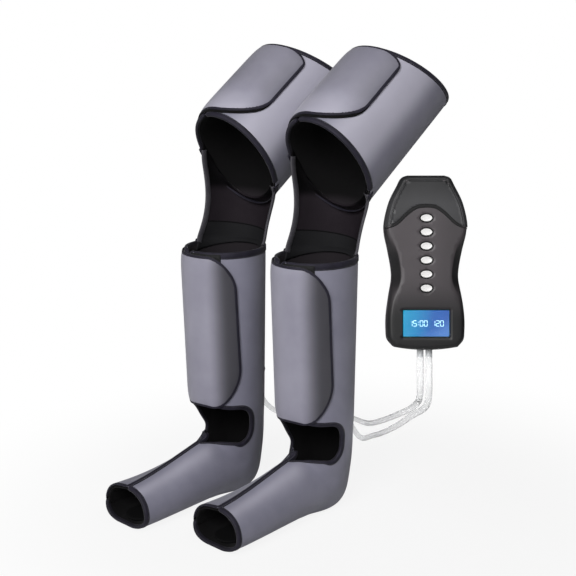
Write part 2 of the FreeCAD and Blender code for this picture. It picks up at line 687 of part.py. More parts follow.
def outline(inset, y):
    """Closed outline of the handset at depth y."""
    points = side_points(inset)
    top = HANDSET_H - inset
    right = [Vector(x, y, z) for x, z in points] + [Vector(TOP_HALF_W - 4.0 - inset, y, top)]
    left = [Vector(-p.x, p.y, p.z) for p in right]
    base = Vector(0, y, inset)
    side = Part.BSplineCurve()
    side.interpolate(right)
    mirror = Part.BSplineCurve()
    mirror.interpolate(left[::-1])
    foot = Part.Arc(left[0], base, right[0])
    lid = Part.LineSegment(right[-1], left[-1])
    return Part.Wire([side.toShape(), lid.toShape(), mirror.toShape(), foot.toShape()])


def pod(inset, side):
    """Half of the handset's body, from its split plane to its face; side is -1 for the front."""
    half = HANDSET_D / 2.0
    steps = ((0.0, 0.0), (0.0, 0.5), (0.36, 0.84), (1.0, 1.0))
    depth = half - inset
    rings = [outline(inset + HANDSET_EDGE * pull, side * depth * out) for pull, out in steps]
    return Part.makeLoft(rings, True, True)


def key_heights():
    return [KEY_FIRST_Z + KEY_PITCH * i for i in range(KEY_COUNT)]


def oval_prism(a, b, y0, y1, z):
    """Lying oval bar, a half-width and b half-height, from y0 to y1 at height z."""
    wire = oval(a, b, 0.0)
    prism = Part.Face(wire).extrude(Vector(0, 0, y1 - y0))
    prism.rotate(Vector(0, 0, 0), Vector(1, 0, 0), -90.0)
    prism.translate(Vector(0, y0, z))
    return prism


def screw_places():
    return [(side * SCREW_X, z) for z in (SCREW_LOW_Z, SCREW_HIGH_Z) for side in (-1, 1)]


def rod(radius, x, z, y0, y1):
    return Part.makeCylinder(radius, y1 - y0, Vector(x, y0, z), Vector(0, 1, 0))


def nozzle_holes(extra):
    """Bores for both nozzles and the hoses' inner ends, along z."""
    return [Part.makeCylinder(NOZZLE_R + extra, 30.0, Vector(side * NOZZLE_X, 0, -NOZZLE_OUT))
            for side in (-1, 1)]


def case_halves():
    face = -HANDSET_D / 2.0
    front = pod(0.0, -1).cut(pod(HANDSET_WALL, -1))
    rear = pod(0.0, 1).cut(pod(HANDSET_WALL, 1))
    for z in key_heights():
        front = front.cut(oval_prism(KEY_A + KEY_GAP, KEY_B + KEY_GAP, face - 2.0, face + 6.0, z))
    front = front.cut(box(-SCREEN_W / 2.0, SCREEN_W / 2.0, face - 2.0, face + 6.0,
                          SCREEN_Z - SCREEN_H / 2.0, SCREEN_Z + SCREEN_H / 2.0))
    front = front.cut(nozzle_holes(FIT_GAP / 2.0))
    rear = rear.cut(nozzle_holes(FIT_GAP / 2.0))
    socket = Part.makeCylinder(DC_R + FIT_GAP / 2.0, 20.0, Vector(DC_X, DC_Y, -5.0))
    rear = rear.cut(socket)
    inner_front = face + HANDSET_WALL
    inner_rear = -inner_front
    for x, z in screw_places():
        front = front.fuse(rod(BOSS_R, x, z, inner_front, -FIT_GAP / 2.0))
        front = front.cut(rod(SCREW_R, x, z, inner_front + 4.0, 1.0))
        rear = rear.fuse(rod(BOSS_R, x, z, 0.0, inner_rear))
        rear = rear.cut(rod(SCREW_R + FIT_GAP, x, z, -1.0, -face + 1.0))
        rear = rear.cut(rod(SCREW_HEAD_R + FIT_GAP, x, z, -face - SCREW_SINK, -face + 1.0))
    return largest(front), largest(rear)


def hood():
    """Cap that wraps over the handset's upper front, its lower edge an S-curve to a peak."""
    w = WIDEST_HALF_W
    rise = HOOD_PEAK_Z - HOOD_Z
    half = [(1.15, -4.0), (0.9, -1.8), (0.72, 0.14 * rise), (0.48, 0.6 * rise), (0.24, 0.93 * rise)]
    wave = [Vector(-w * x, 0, HOOD_Z + z) for x, z in half] + [Vector(0, 0, HOOD_PEAK_Z)]
    wave += [Vector(w * x, 0, HOOD_Z + z) for x, z in half[::-1]]
    curve = Part.BSplineCurve()
    curve.interpolate(wave)
    left = wave[0]
    right = wave[-1]
    top = HANDSET_H + 20.0
    sides = [Part.makeLine(right, Vector(right.x, 0, top)),
             Part.makeLine(Vector(right.x, 0, top), Vector(left.x, 0, top)),
             Part.makeLine(Vector(left.x, 0, top), left)]
    region = Part.Face(Part.Wire([curve.toShape()] + sides)).extrude(Vector(0, -100.0, 0))
    region.translate(Vector(0, HOOD_BACK_Y, 0))
    return largest(pod(-HOOD_T, -1).cut(pod(0.0, -1)).common(region))


def keys():
    face = -HANDSET_D / 2.0
    shapes = {}
    for i, z in enumerate(key_heights()):
        shapes["key_%d" % (i + 1)] = oval_prism(KEY_A, KEY_B, face - KEY_PROUD,
                                                face - KEY_PROUD + KEY_LENGTH, z)
    return shapes


def board_y():
    """y of the circuit board's front face, behind the keypad."""
    return -HANDSET_D / 2.0 - KEY_PROUD + KEY_LENGTH + KEY_TRAVEL + 1.3


def keypad():
    """Rubber sheet on the circuit board with a low dome under each key."""
    back = board_y()
    sheet = box(-KEY_A - 4.0, KEY_A + 4.0, back - 0.8, back,
                KEY_FIRST_Z - 9.0, KEY_FIRST_Z + KEY_PITCH * (KEY_COUNT - 1) + 9.0)
    for z in key_heights():
        sheet = sheet.fuse(rod(2.6, 0.0, z, back - 1.1, back - 0.8))
    return sheet


def display():
    face = -HANDSET_D / 2.0
    w = SCREEN_W / 2.0
    low = SCREEN_Z - SCREEN_H / 2.0
    high = SCREEN_Z + SCREEN_H / 2.0
    front = face + SCREEN_RECESS
    window = box(-w + KEY_GAP, w - KEY_GAP, front, front + WINDOW_T, low + KEY_GAP, high - KEY_GAP)
    panel = box(-w + 1.0, w - 1.0, front + WINDOW_T, board_y(), low + 1.0, high - 1.0)
    return window, panel


def circuit_board():
    """Board behind the keypad and the display, notched round the screw bosses."""
    y = board_y()
    half = WAIST_HALF_W - HANDSET_WALL - HANDSET_EDGE
    board = box(-half, half, y, y + BOARD_T, SCREEN_Z - SCREEN_H / 2.0,
                KEY_FIRST_Z + KEY_PITCH * (KEY_COUNT - 1) + 12.0)
    for x, z in screw_places():
        board = board.cut(rod(BOSS_R + 1.0, x, z, y - 1.0, y + BOARD_T + 1.0))
    return board


def pump_parts():
    """Diaphragm pump, its motor, rubber mounts, valve block and valves."""
    rear = HANDSET_D / 2.0 - HANDSET_WALL
    back = rear - MOUNT_T
    front = back - PUMP_D
    top = PUMP_Z + PUMP_H
    corner = PUMP_W / 2.0 - 5.0
    pump = box(-PUMP_W / 2.0, PUMP_W / 2.0, front, back, PUMP_Z, top)
    motor = Part.makeCylinder(MOTOR_R, MOTOR_L, Vector(0, (front + back) / 2.0, top))
    mounts = [rod(3.0, x, z, back, rear) for x in (-corner, corner)
              for z in (PUMP_Z + 5.0, top - 5.0)]
    face = rear - VALVE_D
    block_top = VALVE_Z + VALVE_H
    block = box(-VALVE_W / 2.0, VALVE_W / 2.0, face, rear, VALVE_Z, block_top)
    pitch = (VALVE_W - COIL_W) / 3.0
    lefts = [-VALVE_W / 2.0 + pitch * i for i in range(4)]
    valves = [box(x, x + COIL_W, face + 2.0, rear - 2.0, block_top, block_top + COIL_H)
              for x in lefts]
    return {"air_pump": pump, "pump_motor": motor, "pump_mounts": Part.makeCompound(mounts),
            "valve_block": block, "solenoid_valves": Part.makeCompound(valves)}


def nozzles():
    """Manifold on the case's floor with one spigot for each hose."""
    block = box(-NOZZLE_X - 7.0, NOZZLE_X + 7.0, -5.5, 5.5, MANIFOLD_Z, MANIFOLD_Z + MANIFOLD_H)
    spigots = [Part.makeCylinder(NOZZLE_R, NOZZLE_OUT + MANIFOLD_Z + 2.0,
                                 Vector(side * NOZZLE_X, 0, -NOZZLE_OUT)) for side in (-1, 1)]
    return block.fuse(spigots).removeSplitter()


def small_parts():
    """Case screws, the rubber feet on the handset's back and the power socket in its lower end."""
    rear = HANDSET_D / 2.0
    seat = rear - SCREW_SINK
    screws = []
    for x, z in screw_places():
        head = rod(SCREW_HEAD_R, x, z, seat, seat + 2.0)
        screws.append(head.fuse(rod(SCREW_R - 0.05, x, z, seat - SCREW_L, seat + 1.0)))
    pads = [rod(PAD_R, x * 0.62, z, rear, rear + PAD_T) for x, z in screw_places()]
    barrel = Part.makeCylinder(DC_R, DC_JACK_Z, Vector(DC_X, DC_Y, DC_MOUTH_Z))
    jack = box(DC_X - 5.5, DC_X + 5.5, DC_Y - 5.0, DC_Y + 5.0, DC_JACK_Z, DC_JACK_Z + 9.0)
    bore = Part.makeCylinder(DC_BORE_R, DC_LENGTH, Vector(DC_X, DC_Y, DC_MOUTH_Z))
    return {"case_screws": Part.makeCompound(screws), "rubber_feet": Part.makeCompound(pads),
            "dc_socket": jack.fuse(barrel).cut(bore).removeSplitter()}


def inner_tubes():
    """Air tubes from the pump to the valve block and from there to the nozzles' manifold."""
    y = HANDSET_D / 2.0 - HANDSET_WALL - VALVE_D + TUBE_R + 0.5
    feed = Part.makeCylinder(TUBE_R, PUMP_Z - VALVE_Z - VALVE_H, Vector(0, y, VALVE_Z + VALVE_H))
    low = MANIFOLD_Z + MANIFOLD_H
    drops = [Part.makeCylinder(TUBE_R, VALVE_Z - low, Vector(side * NOZZLE_X, TUBE_DROP_Y, low))
             for side in (-1, 1)]
    return Part.makeCompound([feed] + drops)


def handset():
    front, rear = case_halves()
    window, panel = display()
    parts = pump_parts()
    parts.update({"front_cover": front, "rear_cover": rear, "hood": hood(),
                  "screen_window": window, "lcd_panel": panel, "keypad_membrane": keypad(),
                  "circuit_board": circuit_board(), "outlet_nozzles": nozzles(),
                  "inner_air_tubes": inner_tubes()})
    parts.update(keys())
    parts.update(small_parts())
    place = handset_placement()
    return {name: moved(shape, place) for name, shape in parts.items()}


# ---- assembly --------------------------------------------------------------------------------
def moved(shape, place):
    copy = shape.copy()
    copy.Placement = place.multiply(copy.Placement)
    return copy


def leg_parts():
    """Every piece of one wrap, in the leg's own frame."""
    parts = calf_wrap()
    parts["calf_flap"] = calf_flap()
    parts["calf_hook_patch"] = calf_patch()
    parts.update(foot_wrap())
    place = thigh_placement()
    upper = thigh_wrap()
    upper["thigh_flap"] = thigh_flap()
    upper["thigh_hook_patch"] = thigh_patch()
    parts.update({name: moved(shape, place) for name, shape in upper.items()})
    parts["knee_panel"] = knee_panel()
    parts["hose_elbow"] = elbow()
    return parts


def origin_shift(nodes):
    """From the point between the legs to the middle of the box, without what is on the hoses."""
    solids = [shape for name, shape in nodes.items() if "hose" not in name]
    bounds = Part.makeCompound(solids).optimalBoundingBox(False, False)
    return Vector(-bounds.Center.x, -bounds.Center.y, 0)


def main():
    os.makedirs("parts", exist_ok=True)
    nodes = handset()
    leg = leg_parts()
    ports = []
    for name, side in (("left", 1), ("right", -1)):
        step = Placement(Vector(side * LEG_SPACING / 2.0, side * LEG_STAGGER / 2.0, 0), Rotation())
        ports.append(moved(hose_port(), step))
        for piece, shape in leg.items():
            nodes[name + "_" + piece] = moved(shape, step)
        nodes[name + "_hose"] = tube(hose_route(side), HOSE_R, name + "_hose")
    nodes["inlet_ports"] = Part.makeCompound(ports)
    shift = origin_shift(nodes)
    print("shift", [round(value, 4) for value in shift])
    for name, shape in nodes.items():
        shape = moved(shape, Placement(shift, Rotation()))
        shape.exportStep("parts/%s.step" % name)
        print("%-24s solids %d valid %s volume %.0f" % (name, len(shape.Solids), shape.isValid(),
                                                        shape.Volume))


main()
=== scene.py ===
"""Visual model of the leg compression set: two leg wraps, a handset pump and two air hoses.

All lengths inside the builders are millimetres in the frame of the piece's own leg or of the
handset. They become metres in the shared frame when a mesh is written.
"""

import logging
import math
from abc import ABC, abstractmethod
from dataclasses import dataclass, field
from enum import Enum
from typing import Callable, Sequence

import bmesh
import bpy
import numpy as np
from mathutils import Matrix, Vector
from mathutils.bvhtree import BVHTree
from mathutils.geometry import delaunay_2d_cdt
from mathutils.kdtree import KDTree


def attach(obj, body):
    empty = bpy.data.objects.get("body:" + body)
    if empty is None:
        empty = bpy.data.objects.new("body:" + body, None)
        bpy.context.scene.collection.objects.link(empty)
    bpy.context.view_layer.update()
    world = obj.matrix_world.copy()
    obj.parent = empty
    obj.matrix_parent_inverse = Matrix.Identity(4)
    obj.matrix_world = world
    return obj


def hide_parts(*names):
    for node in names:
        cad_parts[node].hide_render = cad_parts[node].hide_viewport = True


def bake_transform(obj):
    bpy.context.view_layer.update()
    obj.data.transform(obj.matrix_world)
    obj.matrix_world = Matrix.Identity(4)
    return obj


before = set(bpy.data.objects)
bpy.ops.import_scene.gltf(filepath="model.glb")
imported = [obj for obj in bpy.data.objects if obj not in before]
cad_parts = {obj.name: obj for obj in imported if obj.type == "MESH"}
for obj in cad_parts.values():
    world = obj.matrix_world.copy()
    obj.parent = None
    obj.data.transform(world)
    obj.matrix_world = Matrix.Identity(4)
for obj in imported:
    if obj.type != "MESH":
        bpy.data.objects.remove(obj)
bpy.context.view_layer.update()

logging.basicConfig(level=logging.INFO, format="%(message)s")
log = logging.getLogger("wraps")

# Metres in a millimetre, and a whole turn in radians.
MM = 0.001
FULL_TURN = 2.0 * math.pi
# The point midway between the legs, on the floor.
ORIGIN = np.array([-157.7879, -30.2926, 0.0])
# Half-width, half-depth and height of the calf sleeve's ends, and its lower end's middle.
CALF_TOP = (60.5, 65.8, 400.5)
CALF_BOTTOM = (55.3, 60.0, 149.5)
CALF_BOTTOM_Y = 3.0
TOE_Y = -210.5
# Thicknesses of cover, chambers and liner.
WALLS = (2.0, 3.2, 1.2)
# A number at each of an array of points.
Field = Callable[[np.ndarray], np.ndarray]
Faces = list[tuple[int, ...]]


class Side(Enum):
    """The wearer's leg that a wrap is for; the value is its sign along X."""

    LEFT = 1
    RIGHT = -1

    @property
    def label(self) -> str:
        """The name that starts the names of its nodes."""
        return self.name.lower()


# ---- shader graphs ---------------------------------------------------------------------------
class Value:
    """An output socket; on a number the plain operators build Math nodes."""

    def __init__(self, graph: "Graph", socket: bpy.types.NodeSocket) -> None:
        """Wraps a socket of graph."""
        self.graph = graph
        self.socket = socket

    def _math(self, operation: str, *others: "Value | float") -> "Value":
        """One Math node with this value as its first input."""
        return self.graph.math(operation, self, *others)

    def __add__(self, other: "Value | float") -> "Value":
        """Sum."""
        return self._math("ADD", other)

    __radd__ = __add__

    def __mul__(self, other: "Value | float") -> "Value":
        """Product."""
        return self._math("MULTIPLY", other)

    __rmul__ = __mul__

    def __sub__(self, other: "Value | float") -> "Value":
        """Difference."""
        return self._math("SUBTRACT", other)

    def __rsub__(self, other: float) -> "Value":
        """A number less this value."""
        return self.graph.math("SUBTRACT", other, self)

    def __truediv__(self, other: "Value | float") -> "Value":
        """Quotient."""
        return self._math("DIVIDE", other)

    def power(self, exponent: float) -> "Value":
        """This value to a power."""
        return self._math("POWER", exponent)

    def sine(self) -> "Value":
        """Sine of this value."""
        return self._math("SINE")

    def ribs(self, pitch: float) -> "Value":
        """Ribs of this pitch across the value, from 0 to 1."""
        return (self * (FULL_TURN / pitch)).sine() * 0.5 + 0.5

    def clamp(self) -> "Value":
        """This value held between 0 and 1."""
        return self.graph.node("ShaderNodeClamp", {}, {"Value": self}).out("Result")

    def step(self, low: float, high: float) -> "Value":
        """Smooth step from 0 at low to 1 at high."""
        settings = {"interpolation_type": "SMOOTHSTEP"}
        values = {"Value": self, "From Min": low, "From Max": high}
        return self.graph.node("ShaderNodeMapRange", settings, values).out("Result")


class Node:
    """A node of a graph with its outputs as values."""

    def __init__(self, graph: "Graph", node: bpy.types.Node) -> None:
        """Wraps a node of graph."""
        self.graph = graph
        self.raw = node

    def out(self, name: str | int = 0) -> Value:
        """Output socket by name or place."""
        return Value(self.graph, self.raw.outputs[name])


class Graph:
    """Node tree of a material, of the world or of a modifier."""

    def __init__(self, tree: bpy.types.NodeTree) -> None:
        """Empties the tree."""
        self.tree = tree
        self.tree.nodes.clear()

    @classmethod
    def of(cls, owner: bpy.types.Material | bpy.types.World) -> "Graph":
        """Graph of a material or of the world."""
        owner.use_nodes = True
        return cls(owner.node_tree)

    def node(self, kind: str, settings: dict, values: dict) -> Node:
        """Adds a node.

        Args:
            kind: the node's type.
            settings: its properties, set first; "stops" holds a ramp's stops.
            values: numbers, colours or links of its sockets, by name or place.

        Returns:
            The wrapped node.
        """
        made = self.tree.nodes.new(kind)
        for key, setting in settings.items():
            if key == "stops":
                self._stops(made.color_ramp, setting)
            else:
                setattr(made, key, setting)
        for key, value in values.items():
            socket = made.inputs[key]
            if isinstance(value, Value):
                self.tree.links.new(value.socket, socket)
            else:
                socket.default_value = value
        return Node(self, made)

    @staticmethod
    def _stops(ramp: bpy.types.ColorRamp, stops: Sequence[tuple]) -> None:
        """Sets a ramp's stops, each a place and a colour."""
        while len(ramp.elements) < len(stops):
            ramp.elements.new(0.5)
        for element, (place, colour) in zip(ramp.elements, stops):
            element.position = place
            element.color = colour

    def math(self, operation: str, *terms: "Value | float") -> Value:
        """One Math node."""
        return self.node("ShaderNodeMath", {"operation": operation}, dict(enumerate(terms))).out()

    def mix(self, factor: "Value | float", first: "Value | tuple",
            second: "Value | tuple") -> Value:
        """Mixes two colours."""
        values = {0: factor, 6: first, 7: second}
        return self.node("ShaderNodeMix", {"data_type": "RGBA"}, values).out(2)

    def coordinates(self, scale: tuple = (1.0, 1.0, 1.0)) -> Value:
        """Object coordinates in metres, scaled."""
        source = self.node("ShaderNodeTexCoord", {}, {}).out("Object")
        return self.node("ShaderNodeMapping", {}, {"Vector": source, "Scale": scale}).out()

    def cloth(self) -> tuple[Value, Value]:
        """The piece's own fabric coordinates, across and along, in millimetres."""
        source = self.node("ShaderNodeUVMap", {"uv_map": "fabric"}, {}).out()
        parts = self.node("ShaderNodeSeparateXYZ", {}, {"Vector": source})
        return parts.out("X") * (1.0 / MM), parts.out("Y") * (1.0 / MM)

    def shade(self) -> Value:
        """Painted light at a point, from the piece's own shade attribute: above 0 painted shade,
        below 0 a painted highlight; on the knee panel it holds the height.
        """
        return self.node("ShaderNodeAttribute", {"attribute_name": "shade"}, {}).out("Fac")

    def noise(self, scale: float, detail: float = 3.0, stretch: tuple = (1.0, 1.0, 1.0)) -> Value:
        """Noise over object coordinates, from 0 to 1."""
        values = {"Vector": self.coordinates(stretch), "Scale": scale, "Detail": detail}
        return self.node("ShaderNodeTexNoise", {}, values).out(0)

    def bump(self, height: Value, distance: float, strength: float = 1.0) -> Value:
        """Normal bent by a height."""
        values = {"Height": height, "Distance": distance, "Strength": strength}
        return self.node("ShaderNodeBump", {}, values).out()


def rgb(code: str, alpha: float = 1.0) -> tuple[float, float, float, float]:
    """Linear colour of an sRGB hex code."""
    parts = [int(code[i:i + 2], 16) / 255.0 for i in (0, 2, 4)]
    linear = [c / 12.92 if c < 0.04045 else ((c + 0.055) / 1.055) ** 2.4 for c in parts]
    return (linear[0], linear[1], linear[2], alpha)


# ---- finishes --------------------------------------------------------------------------------
@dataclass(frozen=True)
class Finish(ABC):
    """How a material is made: a Principled surface over a graph."""

    name: str

    @abstractmethod
    def sockets(self, g: Graph) -> dict:
        """Builds the graph and gives the values of the surface's sockets."""

    def build(self) -> bpy.types.Material:
        """Makes the material."""
        material = bpy.data.materials.new(self.name)
        g = Graph.of(material)
        shader = g.node("ShaderNodeBsdfPrincipled", {}, self.sockets(g))
        g.node("ShaderNodeOutputMaterial", {}, {"Surface": shader.out()})
        return material


@dataclass(frozen=True)
class WovenFinish(Finish):
    """Coated nylon face fabric: fine plain weave, faint slubs and uneven dye, with painted shade
    and painted sheen from the piece's shade attribute.
    """

    light: str
    dark: str
    pitch: float = 0.9
    relief: float = 0.00006
    roughness: float = 0.52
    sheen: float = 0.25

    def sockets(self, g: Graph) -> dict:
        """Builds the graph."""
        across, along = g.cloth()
        turn = FULL_TURN / self.pitch
        weft = (across * turn).sine()
        warp = (along * turn).sine()
        weave = weft * warp * 0.5 + 0.5
        slub = g.noise(160.0, 2.0, (1.0, 1.0, 0.15))
        dye = g.noise(9.0, 4.0)
        blotch = g.noise(42.0, 3.0)
        tone = (dye * 0.62 + blotch * 0.26 + weave * 0.12).step(0.3, 0.7)
        colour = g.mix(tone, rgb(self.dark), rgb(self.light))
        # Painted light: above 0 the shade attribute paints shade towards 302f33, below 0 a painted
        # satin sheen towards d3d0de.
        nap_and_shade = g.shade()
        colour = g.mix((nap_and_shade * 0.85).clamp(), colour, rgb("302f33"))
        colour = g.mix((nap_and_shade * -1.0).clamp(), colour, rgb("d3d0de"))
        height = weave * 0.7 + slub * 0.5 + blotch * 0.6
        rough = blotch * 0.12 + weave * 0.05 + (self.roughness - 0.09)
        return {
            "Base Color": colour, "Roughness": rough, "Sheen Weight": self.sheen,
            "Sheen Roughness": 0.45, "Specular IOR Level": 0.42,
            "Normal": g.bump(height, self.relief)}


@dataclass(frozen=True)
class TapeFinish(Finish):
    """Binding tape: cross ribs, slightly worn and lighter on its crown."""

    light: str = "2a2736"
    dark: str = "15131c"
    rib: float = 0.8

    def sockets(self, g: Graph) -> dict:
        """Builds the graph."""
        across, along = g.cloth()
        rib = along.ribs(self.rib)
        wear = g.noise(70.0, 4.0)
        fuzz = g.noise(900.0, 2.0)
        crown = (across * (math.pi / 14.0)).sine().clamp()
        tone = (wear * 0.6 + rib * 0.25 + crown * 0.25).step(0.3, 0.95)
        height = rib * 0.6 + fuzz * 0.5
        return {
            "Base Color": g.mix(tone, rgb(self.dark), rgb(self.light)),
            "Roughness": fuzz * 0.15 + 0.55, "Sheen Weight": 0.1, "Sheen Roughness": 0.4,
            "Specular IOR Level": 0.3, "Normal": g.bump(height, 0.00010)}


@dataclass(frozen=True)
class KnitFinish(Finish):
    """Elastic knit or brushed lining: fine courses with a soft nap; the piece's shade attribute
    paints light on it near an opening.
    """

    light: str
    dark: str
    course: float = 1.6
    relief: float = 0.00016
    sheen: float = 0.35

    def sockets(self, g: Graph) -> dict:
        """Builds the graph."""
        across, along = g.cloth()
        course = along.ribs(self.course)
        wale = across.ribs(self.course * 0.7)
        nap_and_shade = g.noise(700.0, 3.0)
        patch = g.noise(16.0, 4.0)
        tone = (patch * 0.6 + course * 0.25 + nap_and_shade * 0.25).step(0.25, 0.85)
        height = course * 0.7 + wale * 0.3 + nap_and_shade * 0.5
        colour = g.mix(tone, rgb(self.dark), rgb(self.light))
        # Painted light: the shade attribute mixes the colour towards the lighter 272327, where
        # light falls into a lining near its opening.
        return {
            "Base Color": g.mix(g.shade().clamp(), colour, rgb("272327")),
            "Roughness": nap_and_shade * 0.15 + 0.78, "Sheen Weight": self.sheen, "Sheen Roughness": 0.5,
            "Specular IOR Level": 0.2, "Normal": g.bump(height, self.relief)}


@dataclass(frozen=True)
class KneeLiningFinish(Finish):
    """Inner face of the knee panel, painted by height: a purple-grey band of knit, which is painted
    light, between two darker ones, the black one above it painted shade, with a painted shadow
    along the crease.
    """

    crease: float = 0.268
    top: float = 0.82

    def sockets(self, g: Graph) -> dict:
        """Builds the graph; the piece's own attribute says how high a point lies."""
        _, along = g.cloth()
        level = g.shade()
        course = along.ribs(1.8)
        nap_and_shade = g.noise(700.0, 3.0)
        patch = g.noise(14.0, 4.0)
        # Painted light and shade: the purple band is where light reaches the panel's inside; above
        # it the black is painted shade.
        band = level.step(self.crease, self.crease + 0.02) * \
            (1.0 - level.step(self.top - 0.08, self.top + 0.06))
        # Painted shadow: a dark line along the crease, which is also bumped.
        crease_shadow = g.math("ABSOLUTE", level - self.crease).step(0.0, 0.016)
        tone = (patch * 0.7 + nap_and_shade * 0.3).step(0.3, 0.8)
        purple = g.mix(tone, rgb("221d22"), rgb("2c272c"))
        green = g.mix(tone, rgb("1f1f21"), rgb("29292b"))
        black = g.mix(tone, rgb("050406"), rgb("0c0b0d"))
        colour = g.mix(band, g.mix(level.step(self.crease + 0.1, self.top), green, black), purple)
        return {
            "Base Color": g.mix(crease_shadow, rgb("0a0a0b"), colour), "Roughness": nap_and_shade * 0.15 + 0.75,
            "Specular IOR Level": 0.1,
            "Normal": g.bump(course * 0.6 + nap_and_shade * 0.5 + crease_shadow * 3.0, 0.0002)}


@dataclass(frozen=True)
class HookFinish(Finish):
    """Hook tape: rows of tiny hooks on a black ground."""

    pitch: float = 1.6

    def sockets(self, g: Graph) -> dict:
        """Builds the graph."""
        across, along = g.cloth()
        turn = FULL_TURN / self.pitch
        dots = ((across * turn).sine() * (along * turn).sine() * 0.5 + 0.5).power(3.0)
        fuzz = g.noise(1200.0, 2.0)
        tone = (dots * 0.7 + fuzz * 0.3).clamp()
        return {
            "Base Color": g.mix(tone, rgb("060607"), rgb("161618")), "Roughness": fuzz * 0.2 + 0.6,
            "Normal": g.bump(dots + fuzz * 0.3, 0.0004)}


@dataclass(frozen=True)
class ThreadFinish(Finish):
    """Polyester sewing thread with its twist."""

    colour: str = "3c3c46"

    def sockets(self, g: Graph) -> dict:
        """Builds the graph."""
        twist = g.noise(2400.0, 1.0)
        return {
            "Base Color": g.mix(twist, rgb("1d1d24"), rgb(self.colour)), "Roughness": 0.45,
            "Sheen Weight": 0.3, "Normal": g.bump(twist, 0.0001)}


@dataclass(frozen=True)
class MouldedFinish(Finish):
    """Moulded plastic or metal: fine grain, flow marks, handling marks and a faint sheen, with
    painted shade from the piece's shade attribute.
    """

    colour: str
    worn: str
    roughness: float = 0.38
    grain: float = 0.00003
    metal: float = 0.0
    coat: float = 0.0
    grain_scale: float = 1500.0

    def sockets(self, g: Graph) -> dict:
        """Builds the graph."""
        fine = g.noise(self.grain_scale, 2.0)
        smear = g.noise(22.0, 5.0)
        tone = smear.step(0.35, 0.75) * 0.7 + fine * 0.15
        rough = smear * 0.14 + fine * 0.06 + (self.roughness - 0.1)
        colour = g.mix(tone, rgb(self.colour), rgb(self.worn))
        # Painted shade: the shade attribute darkens the colour towards 08080a.
        return {
            "Base Color": g.mix(g.shade(), colour, rgb("08080a")), "Roughness": rough,
            "Metallic": self.metal, "Coat Weight": self.coat, "Coat Roughness": 0.12,
            "Normal": g.bump(fine, self.grain)}


@dataclass(frozen=True)
class SiliconeFinish(Finish):
    """Clear, slightly milky hose silicone."""

    def sockets(self, g: Graph) -> dict:
        """Builds the graph."""
        haze = g.noise(60.0, 3.0)
        colour = g.mix(haze, rgb("f6f7f8"), rgb("ffffff"))
        return {
            "Base Color": colour, "Roughness": haze * 0.08 + 0.1, "IOR": 1.1,
            "Transmission Weight": 0.75, "Normal": g.bump(haze, 0.00001)}


@dataclass(frozen=True)
class GlassFinish(Finish):
    """Thin clear cover of the display."""

    def sockets(self, g: Graph) -> dict:
        """Builds the graph."""
        smear = g.noise(120.0, 4.0)
        return {
            "Base Color": (0.95, 0.98, 1.0, 1.0), "Roughness": smear * 0.08 + 0.03,
            "Transmission Weight": 1.0, "IOR": 1.1, "Normal": g.bump(smear, 0.000004)}


@dataclass(frozen=True)
class ScreenFinish(Finish):
    """Lit display: cyan at the left to blue, lighter towards the lower right, over fine pixels."""

    width: float = 56.0
    height: float = 33.0
    pixel: float = 0.35

    def sockets(self, g: Graph) -> dict:
        """Builds the graph."""
        across, along = g.cloth()
        u = across / self.width
        v = along / self.height
        stops = [(0.0, rgb("0ca6d2")), (0.3, rgb("1590c9")), (0.62, rgb("1f63b8")),
                 (1.0, rgb("2a5ab2"))]
        sweep = u + (v - 0.5) * -0.12
        base = g.node("ShaderNodeValToRGB", {"stops": stops}, {"Fac": sweep}).out()
        glow = (u * 1.1 - v * 0.9).step(0.25, 0.95)
        colour = g.mix(glow * 0.55, base, rgb("6fa6ea"))
        pixels = (along.ribs(self.pixel) * across.ribs(self.pixel)) * 0.12
        lit = g.mix(pixels, colour, (0.0, 0.01, 0.05, 1.0))
        return {
            "Base Color": (0.01, 0.02, 0.05, 1.0), "Emission Color": lit, "Emission Strength": 0.84,
            "Roughness": pixels + 0.2}


@dataclass(frozen=True)
class DigitFinish(Finish):
    """Bright segments of the display's read-out."""

    def sockets(self, g: Graph) -> dict:
        """Builds the graph."""
        haze = g.noise(400.0, 2.0)
        lit = g.mix(haze, rgb("bdeef6"), rgb("d8f8fb"))
        return {
            "Base Color": (0.3, 0.6, 0.7, 1.0), "Emission Color": lit, "Emission Strength": 0.9,
            "Roughness": haze * 0.1 + 0.3}


